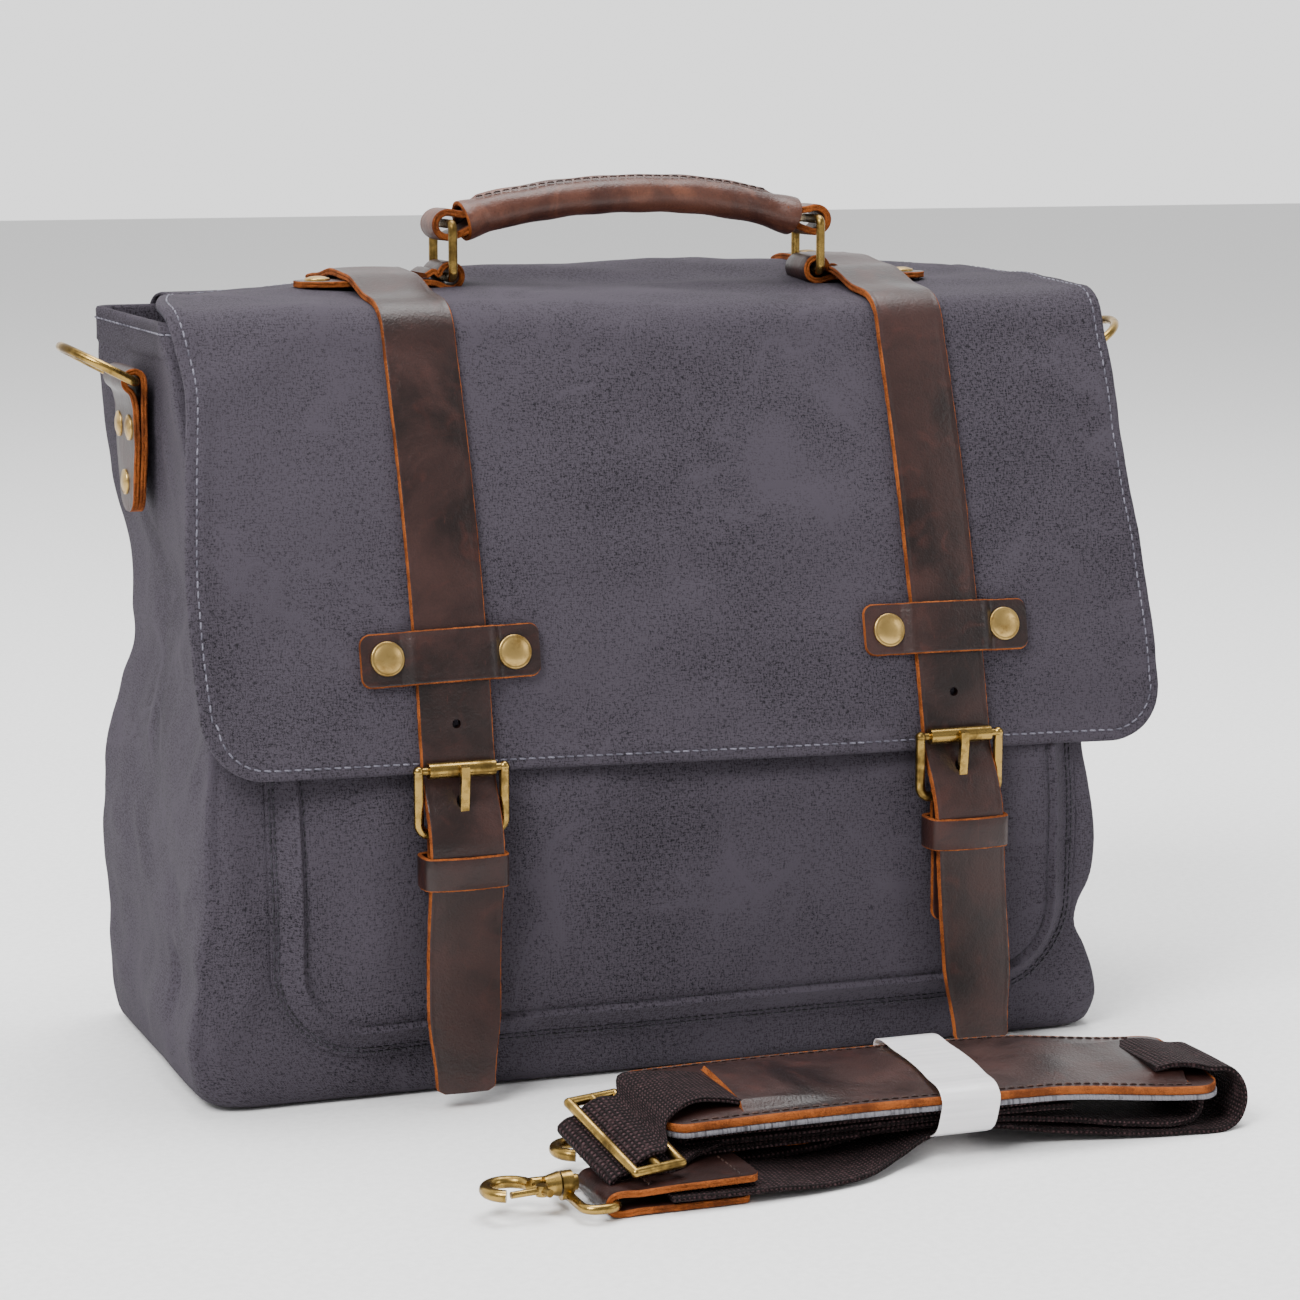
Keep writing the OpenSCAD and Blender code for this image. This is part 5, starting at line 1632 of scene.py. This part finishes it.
class BAG_OT_handle(bpy.types.Operator):
    """Padded leather grip with a pressed seam on top, its end loops, and the tabs that hold the rings"""

    bl_idname = "bag.handle"
    bl_label = "Handle"

    def execute(self, context):
        stitch = stitch_size(context)
        grip_low, grip_high = box_mm("handle_grip")
        ring = {name: np.mean(box_mm("handle_ring_" + name), axis=0) for name, _ in SIDES}
        bar_z = box_mm("handle_ring_left")[1][2] - 1.9
        mid_x, mid_y = (grip_low[0] + grip_high[0]) / 2, (grip_low[1] + grip_high[1]) / 2
        half_l = (ring["right"][0] - ring["left"][0]) / 2 - 8.0
        top_mid = grip_high[2] - 7.4
        end_z = bar_z + 0.8
        u = np.concatenate([[-1, -0.998, -0.99, -0.975], np.linspace(-0.955, 0.955, 96), [0.975, 0.99, 0.998, 1]])
        cx = mid_x + u * half_l
        cz = end_z + (top_mid - end_z) * (1 - np.abs(u) ** 2.1) + 0.5 * np.sin(u * 3.0)
        cy = mid_y + 0.6 * np.sin(u * 2.2 + 0.5)
        path = np.stack([cx, cy, cz], -1)
        along = unit(np.gradient(path, axis=0))
        up = unit(np.stack([-along[:, 2], 0 * u, along[:, 0]], -1))
        side = np.tile([0, 1.0, 0], (len(u), 1))
        angle = np.linspace(0, 2 * np.pi, 57)
        ridge_at = math.radians(66)
        grip = Mesh()
        rows = []
        near_end = 1 - smooth(1 - np.abs(u), 0.0, 0.16)
        strength = smooth(u, -0.93, -0.86) * (1 - smooth(u, 0.8, 0.9))
        for i in range(len(u)):
            ry = GRIP_RADIUS + 4.3 * near_end[i]
            rz = GRIP_RADIUS - 0.2 + 1.3 * near_end[i]
            swell = 0.25 * math.sin(u[i] * 23) * 0.6
            radius = 1.0 / np.sqrt((np.cos(angle) / ry) ** 2 + (np.sin(angle) / rz) ** 2) + swell
            away = (angle - ridge_at) * GRIP_RADIUS
            radius = radius + strength[i] * (
                2.5 * bump(away, 1.5) - 0.7 * bump(away - 3.0, 1.1) - 0.7 * bump(away + 3.0, 1.1)
            )
            rows.append(
                path[i] + side[i] * (radius * np.cos(angle))[:, None] + up[i] * (radius * np.sin(angle))[:, None]
            )
        rows = np.stack(rows)
        pull = cloth_noise(rows * [0.5, 1, 1], 11, 61)[..., None] * 0.35
        centre = path[:, None, :]
        rows = rows + unit(rows - centre) * pull
        rows[:, -1] = rows[:, 0]
        around = np.broadcast_to(angle * GRIP_RADIUS, rows.shape[:2])
        length = np.broadcast_to((u * half_l)[:, None], rows.shape[:2])
        grip.grid(rows, 0, np.stack([length, around], -1), turn=False)
        for end in (0, -1):
            ring_out = rows[end]
            inner = path[end] + (ring_out - path[end]) * 0.76
            deep = inner + along[end] * (7 if end == 0 else -7)
            grip.grid(
                np.stack([ring_out, (ring_out + inner) / 2 + along[end] * (-0.7 if end == 0 else 0.7), inner]), 1,
                turn=end == 0
            )
            grip.grid(np.stack([inner, deep]), 0, turn=end == 0)
        seam = np.where(strength > 0.4)[0]
        for off in (-0.32, 0.32):
            radius = GRIP_RADIUS + 0.9
            a = ridge_at + off
            line = path[seam] + side[seam] * radius * math.cos(a) + up[seam] * radius * math.sin(a)
            out = side[seam] * math.cos(a + 2.2 * off) + up[seam] * math.sin(a + 2.2 * off)
            add_stitches(grip, line, out, 2, *stitch)
        grip = grip.build(
            "grip_leather", [FINISH["handle"], FINISH["edge"], FINISH["dark_thread"]], merge=0.02, sharp=50
        )
        link_to(grip, "handle", ["handle_grip"], "handle_leather")

        loops = Mesh()
        for name, s in SIDES:
            x = ring[name][0]
            a = np.radians(np.arange(-118, 119, 8)) if s > 0 else np.radians(np.arange(298, 61, -8))
            r = 5.2
            arc = np.stack([x + r * 1.12 * np.cos(a), bar_z - 0.4 + r * np.sin(a)], -1)
            inwards = -s * 13
            first = [(x + inwards, bar_z + 0.2), (x + inwards * 0.6, bar_z - 3.0)]
            last = [(x + inwards * 0.6, bar_z + 3.8), (x + inwards, bar_z + 4.2)]
            flat = curve_through(np.concatenate([first, arc, last]), 1.0)
            band = upright(flat, mid_y)
            add_band(loops, band, (0, s * 1.0, 0), 8.9, 2.9, crown=0.1, crease=True, fray=0.2)
        loops = loops.build("handle_end_loops", [FINISH["handle"], FINISH["edge"]])
        link_to(loops, "handle", ["handle_end_loops"], "handle_leather")

        low_bar = box_mm("handle_ring_left")[0][2] + 1.9
        tab_low, tab_high = box_mm("handle_tabs")
        tabs, caps = Mesh(), Mesh()
        for name, s in SIDES:
            x = ring[name][0]
            end = tab_high[0] if s > 0 else tab_low[0]
            base = float(flap_swell(x, run_at_y(mid_y))) * 0.6
            z0 = tab_low[2] + 1.6 + base
            a = np.radians(np.arange(-90, 181, 12)) if s < 0 else np.radians(np.arange(270, -1, -12))
            arc = np.stack([x + 4.9 * np.cos(a), low_bar + 0.6 + 4.9 * np.sin(a)], -1)
            first = [(end, z0), (end - s * 12, z0), (x + s * 16, z0), (x + s * 7, z0 - 0.2)]
            last = [(x + s * 7, z0 + 4.6), (x + s * 10.5, z0 + 2.9)]
            flat = curve_through(np.concatenate([first, arc, last]), 1.0)
            band = upright(flat, mid_y)
            run = length_along(band)
            add_band(
                tabs, band, (0, s * 1.0, 0), rounded_half(run, 11.0, 11.0, (True, False)), 2.5, crown=0.15, fray=0.2
            )
            spot = np.array([end - s * 10, mid_y, z0 + 1.3])
            add_rivet(caps, spot, (0, 0, 1), SMALL_CAP, 1.8)
        tabs = tabs.build("handle_tabs", [FINISH["leather"], FINISH["edge"]])
        link_to(tabs, "flap_top", ["handle_tabs"], "dark_leather")
        caps = caps.build("handle_tab_rivets", [FINISH["cap"]], sharp=60)
        link_to(caps, "flap_top", ["handle_tab_rivets"], "antique_brass")
        return {"FINISHED"}


class BAG_OT_side_tabs(bpy.types.Operator):
    """Doubled leather tabs on the gussets, folded round the D rings and riveted"""

    bl_idname = "bag.side_tabs"
    bl_label = "Side tabs"

    def execute(self, context):
        for name, s in SIDES:
            low, high = box_mm("side_tab_" + name)
            y = (low[1] + high[1]) / 2
            wide = (high[1] - low[1]) / 2
            inner = low[0] if s > 0 else high[0]
            bar_x = inner + s * 5.2
            bar_z = high[2] - 5.2
            foot = low[2] + 0.4
            a = np.radians(np.arange(180, -61, -10))
            arc = np.stack([bar_x + s * 4.05 * np.cos(a), bar_z + 4.05 * np.sin(a)], -1)
            back = [(inner + s * 1.5, foot), (inner + s * 1.4, foot + 20), (inner + s * 1.3, bar_z - 10)]
            front = [
                (inner + s * 4.9, bar_z - 9.5), (inner + s * 4.5, bar_z - 16), (inner + s * 4.3, foot + 18),
                (inner + s * 4.1, foot)
            ]
            flat = curve_through(np.concatenate([back, arc, front]), 1.0)
            band = upright(flat, y)
            rise = flat[:, 1] - foot
            shield = np.interp(
                rise, [0, 0.5, 1.5, 3.2, 6, 10, 14, 19, 27, 33],
                [4.5, 6.5, 8.6, 10.6, 12.3, 13.4, 14.2, 15.6, 17.9, wide - 0.2]
            )
            shield = np.where(rise > 33, wide - 0.2, shield)
            tab = Mesh()
            add_band(tab, band, (0, -s * 1.0, 0), shield, TAB_T, crown=0.25, fray=0.22)
            tab = tab.build("side_tab_" + name, [FINISH["leather"], FINISH["edge"]])
            link_to(tab, "bag", ["side_tab_" + name], "dark_leather")
            caps = Mesh()
            for dy, dz in ((-9.5, -19), (9.5, -19), (0, -42)):
                add_rivet(caps, (inner + s * 5.65, y + dy, bar_z + dz), (s, 0, 0), SMALL_CAP, 1.9)
            caps = caps.build("side_rivets_" + name, [FINISH["cap"]], sharp=60)
            link_to(caps, "bag", ["side_rivets"], "antique_brass")
        return {"FINISHED"}


# ---- shoulder strap ----


def arc_points(x, z, r, a0, a1, count=9):
    """Points on an arc in the plane of x and z."""
    a = np.radians(np.linspace(a0, a1, count))
    return np.stack([x + r * np.cos(a), z + r * np.sin(a)], -1).tolist()


def webbing_lines(y, reach):
    """Centre lines of the folded webbing as (x, y, z): from the front tab, from the rear tab, and a short fold."""

    def skew(x):
        """How far the folds turn back at x."""
        return y - 10 * smooth(np.asarray(x, float), 70, 150)

    outer = [
        (-78, y - 31, 4.9), (-55, y - 31, 4.9), (-38, y - 30, 4.4), (-16, y - 27, 2.6), (4, y - 21, 3.0),
        (20, y - 11, 5.6), (35, y - 3, 8.9), (49, y, 9.3), (62, y - 0.5, 8.9)
    ]
    outer += [(x, float(skew(x)), z) for x, z in ((90, 5.0), (115, 2.4), (140, 1.35))]
    loop = np.array(arc_points(reach - 0.5, 12.4, 11.2, -84, 52, 10))
    outer += [(x, y - 10 + 8 * k / 9, z) for k, (x, z) in enumerate(loop)]
    outer += [(reach - 2, y - 1, 22.6), (reach - 10, y, 24.6), (reach - 18, y, 25.4), (reach - 26, y, 24.4)]
    inner = [
        (-46, y + 5.5, 4.9), (-24, y + 5, 5.2), (-6, y + 4, 7.0), (14, y + 2, 10.8), (35, y, 11.7), (49, y, 11.75),
        (64, y, 11.5)
    ]
    inner += [(x, float(skew(x)) + 1.5, z) for x, z in ((95, 8.2), (120, 5.4), (138, 4.4))]
    inner += [(x, y - 6 + 4 * k / 8, z) for k, (x, z) in enumerate(arc_points(144, 10.7, 6.2, -86, 86))]
    inner += [
        (120, y - 0.5, 17.4), (100, y, 16.9), (48, y, 16.9), (0, y + 0.8, 16.8), (-44, y + 1.5, 17.2),
        (-56, y + 1.6, 17.1)
    ]
    inner += [(x, y + 1.6, z) for x, z in arc_points(-60.5, 15.5, 1.5, 80, 280, 7)]
    inner += [(-50, y + 1.2, 14.0), (0, y, 14.0), (48, y, 14.3), (84, y - 0.5, 13.9), (96, y - 1, 13.6)]
    short = [(-66, y - 2.2, 10.6), (-58, y - 2, 11.3), (-30, y - 1.2, 11.5), (0, y - 0.6, 11.4), (8, y - 0.4, 11.5)]
    return outer, inner, short


class BAG_OT_shoulder_strap(bpy.types.Operator):
    """The folded shoulder strap: webbing, leather pad on its cloth backing, end tabs and the tie band"""

    bl_idname = "bag.shoulder_strap"
    bl_label = "Shoulder strap"

    def execute(self, context):
        stitch = stitch_size(context)
        web_low, web_high = box_mm("shoulder_webbing")
        y = (web_low[1] + web_high[1]) / 2
        half = (web_high[1] - web_low[1]) / 2
        pad_low, pad_high = box_mm("pad_backing")
        x0, x1 = pad_low[0] - 0.5, pad_high[0] + 9.5
        wide = 60.0
        slope = math.tan(math.radians(5.2))
        slots = (32.0, x1 - x0 - 13.0)
        straps = Mesh()
        for k, line in enumerate(webbing_lines(y, x1)):
            path = curve_through(line, 1.2 if k else 1.6)
            path[:, 2] += 0.35 * cloth_noise(path, 34, 70 + k) * smooth(path[:, 2], 2, 6)
            add_band(straps, path, (0, 1.0, 0), half - 0.3 * k, WEBBING_T, 0, 0, crease=False, crown=0.15, fray=0.1)
        slide_low, slide_high = box_mm("adjuster_slide")
        centre = (slide_low + slide_high) / 2
        long_way, short_way = np.array([0.2365, -0.911, -0.336]), np.array([0.969, 0.247, 0.011])
        out_way = np.cross(long_way, short_way)
        bar = centre - 10 * short_way
        mouth = np.array([x0 + slots[0], y + 1.0, pad_low[2] + slope * 28 + 4.5])
        over = [
            mouth + (8, 0, -2.0), mouth + (1, 0, 1.6), mouth + (-9, -0.3, 4.0), mouth + (-22, -2.5, 5.2),
            mouth + (-34, -8, 4.2)
        ]
        # over the middle bar, under the outer one, and back below the slide
        steps = (
            (15, 2.6), (10, 3.1), (5, 1.2), (0, -3.1), (-3.8, -4.2), (-5.8, -6.2), (-4.6, -8.6), (0, -9.4), (9, -9.4)
        )
        turn = [bar + a * short_way + b * out_way for a, b in steps]
        under = [bar + (22, 8, -9.0), bar + (34, 16, -9.5), bar + (48, 23, -9.5)]
        path = curve_through(np.array(over + turn + under), 1.2)
        share = smooth(-path[:, 0], -(mouth[0] - 14), -(bar[0] + 8))[:, None]
        sides = unit((1 - share) * np.array([0, 1.0, 0]) - share * long_way)
        add_band(straps, path, sides, half - 0.5, WEBBING_T, 0, 0, crease=False, crown=0.1, fray=0.1)
        straps = straps.build("shoulder_webbing", [FINISH["webbing"]])
        link_to(straps, "shoulder_strap", ["shoulder_webbing"], "webbing")

        near = np.array([0, 0.15, 0.45, 0.9, 1.5, 2.3, 3.3, 4.4, 5.6, 7.2, 9.2])
        across = np.unique(np.concatenate([near, np.linspace(11, wide - 11, 30), wide - near]))
        lips = [at + d for at in slots for d in (-0.5, -0.1, 0.0, 0.35, 0.7)]
        along = np.unique(np.concatenate([near, np.linspace(11, x1 - x0 - 11, 84), lips, x1 - x0 - near]))

        def pad_at(px, py, off):
            """A point of the pad, off above its underside."""
            droop = -6.2 * smooth(px, x1 - x0 - 78, x1 - x0) + 0.8 * np.sin(px / 41.0)
            cup = 1.6 * (1 - ((py - wide / 2) / (wide / 2)) ** 2)
            return np.stack([x0 + px, pad_low[1] + py, pad_low[2] + slope * py + droop + cup + off], -1)

        def layer(name, node, low, high, inset, finishes, slot_name, sewn, edge):
            """One sheet of the pad, between two heights."""
            sheet = Mesh()
            gy, gx = np.meshgrid(across, along, indexing="ij")
            ends = np.minimum(gx, x1 - x0 - gx)
            sides = np.minimum(gy, wide - gy)
            draw = corner_inset(ends, 9.0)
            py = wide / 2 + (gy - wide / 2) * (wide / 2 - draw - inset) / (wide / 2)
            px = (gx - (x1 - x0) / 2) * ((x1 - x0) / 2 - inset) / ((x1 - x0) / 2) + (x1 - x0) / 2
            rim = np.minimum(ends, sides)
            half_t = (high - low) / 2 * np.sqrt(np.clip(1 - (1 - np.clip(rim / 0.9, 0, 1)) ** 4, 0, 1))
            puff = 0.5 * cloth_noise(np.stack([gx, gy, 0 * gx], -1), 26, 81) * smooth(rim, 2, 20)
            mid = (high + low) / 2
            over = 0 * gx
            if sewn:
                width = smooth(half + 2.5 - np.abs(gy - 28), 0, 2.5)
                over = 2.6 * width * (
                    (gx >= slots[0]) * (
                        1 - smooth(gx, slots[0] + 6, slots[0] + 46)
                    ) + (gx <= slots[1]) * smooth(gx, slots[1] - 34, slots[1] - 5)
                )
                over = over + 0.8 * bump(gx - slots[0] - 34, 9) * bump(gy - 16, 8)
            cells = (rim < 0.95)
            cells = cells[:-1, :-1] | cells[1:, 1:] | cells[:-1, 1:] | cells[1:, :-1]
            lip = np.abs(np.diff(over, axis=1)) / np.maximum(np.diff(gx, axis=1), 0.01) > 1.2
            lip = lip[:-1] | lip[1:]
            for sign in (1, -1):
                sheet.grid(
                    pad_at(px, py, mid + sign * half_t + puff + (over if sign > 0 else 0)), 0, np.stack([gx, gy], -1),
                    turn=sign < 0
                )
                marked = cells | lip if sign > 0 else cells
                sheet.finish[-cells.size :] = [edge if c else 0 for c in marked.ravel()]
            if sewn:
                inset = 3.6
                for row in (inset, wide - inset):
                    run = np.linspace(10, x1 - x0 - 10, 160)
                    line = pad_at(run, np.full(160, row), high + 0.15)
                    add_stitches(sheet, line, (0, 0, 1.0), 2, *stitch)
            sheet = sheet.build(name, [FINISH[f] for f in finishes], merge=0.02, sharp=60)
            return link_to(sheet, "shoulder_strap", [node], slot_name)

        backing = layer("pad_underside", "pad_backing", 0.0, 1.9, 0.0, ["pad_cloth"], "pad_canvas", False, 0)
        pad = layer(
            "pad_leather", "shoulder_pad", 2.0, 4.8, 0.4, ["leather", "edge", "dark_thread"], "dark_leather", True, 1
        )

        band_low, band_high = box_mm("hank_band")
        bx, bw = (band_low[0] + band_high[0]) / 2, (band_high[0] - band_low[0]) / 2
        front, rear = band_low[1] - 0.6, band_high[1] + 0.9
        line = [
            (y, 7.1), (y - 13, 7.1), (y - 19.5, 8.0), (front + 2.0, 12.2), (front, 18), (front - 0.2, 24.3),
            (front + 2.2, 26.6), (front + 16, 28.8), (front + 31, 30.4), (front + 46, 31.6)
        ]
        line += [
            (rear - 4, 32.3), (rear - 0.4, 31.2), (rear, 26), (rear - 5, 15), (y + 18.4, 8.2), (y + 12, 7.1), (y, 7.1)
        ]
        flat = curve_through(line, 1.6)
        band = np.stack([bx + 0.09 * (flat[:, 1] - 20) + 0.6 * np.sin(flat[:, 0] / 9), flat[:, 0], flat[:, 1]], -1)
        film = Mesh()
        add_band(film, band, (1.0, 0, 0), bw, 0.5, 0, 0, crease=False, crown=0.0, fray=0.0)
        film = film.build("tie_band", [FINISH["film"]])
        link_to(film, "shoulder_strap", ["hank_band"], "band_film")

        eyes_low, eyes_high = box_mm("hook_eyes")
        tabs = Mesh()
        for k, name in enumerate(("front", "rear")):
            cx, cz = box_mm("hook_" + name)[1][0] + 10.0, 4.9
            cy = eyes_low[1] + 20.2 if k == 0 else eyes_high[1] - 20.2
            arc = [(cx + 3.4 * math.cos(t), cz + 3.4 * math.sin(t)) for t in np.radians(np.arange(96, 265, 12))]
            top = [(cx + 55, cz + 4.2 - k), (cx + 38, cz + 3.9), (cx + 20, cz + 3.7), (cx + 9, cz + 3.3)]
            base = [(cx + 9, cz - 3.3), (cx + 24, cz - 3.5), (cx + 52, cz - 3.5)]
            flat = curve_through(np.array(top + arc + base), 1.0)
            path = upright(flat, cy)
            run = length_along(path)
            add_band(tabs, path, (0, 1.0, 0), rounded_half(run, 16.2, 4), TAB_T, crown=0.15, fray=0.25)
            for px in (cx + 13, cx + 48):
                line = np.stack([np.full(20, px), np.linspace(cy - 13, cy + 13, 20), np.full(20, cz + 5.3)], -1)
                add_stitches(tabs, line, (0, 0, 1.0), 2, *stitch)
        tabs = tabs.build("end_tabs", [FINISH["leather"], FINISH["edge"], FINISH["dark_thread"]])
        link_to(tabs, "shoulder_strap", ["end_tabs"], "dark_leather")
        return {"FINISHED"}


class BAG_PT_panel(bpy.types.Panel):
    """The bag's sizes, colours and pieces"""

    bl_label = "Messenger Bag"
    bl_idname = "BAG_PT_panel"
    bl_space_type = "VIEW_3D"
    bl_region_type = "UI"
    bl_category = "Messenger Bag"

    def draw(self, context):
        for group in (context.scene.bag_look, context.scene.bag_sewing, context.scene.bag_studio):
            box = self.layout.box()
            for name in group.__annotations__:
                box.prop(group, name)
        for kind in OPERATORS:
            self.layout.operator(kind.bl_idname)


OPERATORS = (
    BAG_OT_stage,
    BAG_OT_finishes,
    BAG_OT_body,
    BAG_OT_inside,
    BAG_OT_pocket,
    BAG_OT_flap,
    BAG_OT_straps,
    BAG_OT_closures,
    BAG_OT_handle,
    BAG_OT_side_tabs,
    BAG_OT_shoulder_strap,
)
CLASSES = (BagLook, BagSewing, BagStudio) + OPERATORS + (BAG_PT_panel,)


def register():
    """Registers the classes and the settings."""
    for kind in CLASSES:
        bpy.utils.register_class(kind)
    bpy.types.Scene.bag_look = bpy.props.PointerProperty(type=BagLook)
    bpy.types.Scene.bag_sewing = bpy.props.PointerProperty(type=BagSewing)
    bpy.types.Scene.bag_studio = bpy.props.PointerProperty(type=BagStudio)


def unregister():
    """Removes them again."""
    del bpy.types.Scene.bag_look, bpy.types.Scene.bag_sewing, bpy.types.Scene.bag_studio
    for kind in reversed(CLASSES):
        bpy.utils.unregister_class(kind)


def main():
    """Builds everything in order."""
    register()
    for operator in (
        bpy.ops.bag.stage,
        bpy.ops.bag.finishes,
        bpy.ops.bag.body,
        bpy.ops.bag.inside,
        bpy.ops.bag.pocket,
        bpy.ops.bag.flap,
        bpy.ops.bag.straps,
        bpy.ops.bag.closures,
        bpy.ops.bag.handle,
        bpy.ops.bag.side_tabs,
        bpy.ops.bag.shoulder_strap,
    ):
        operator()


if __name__ == "__main__":
    main()
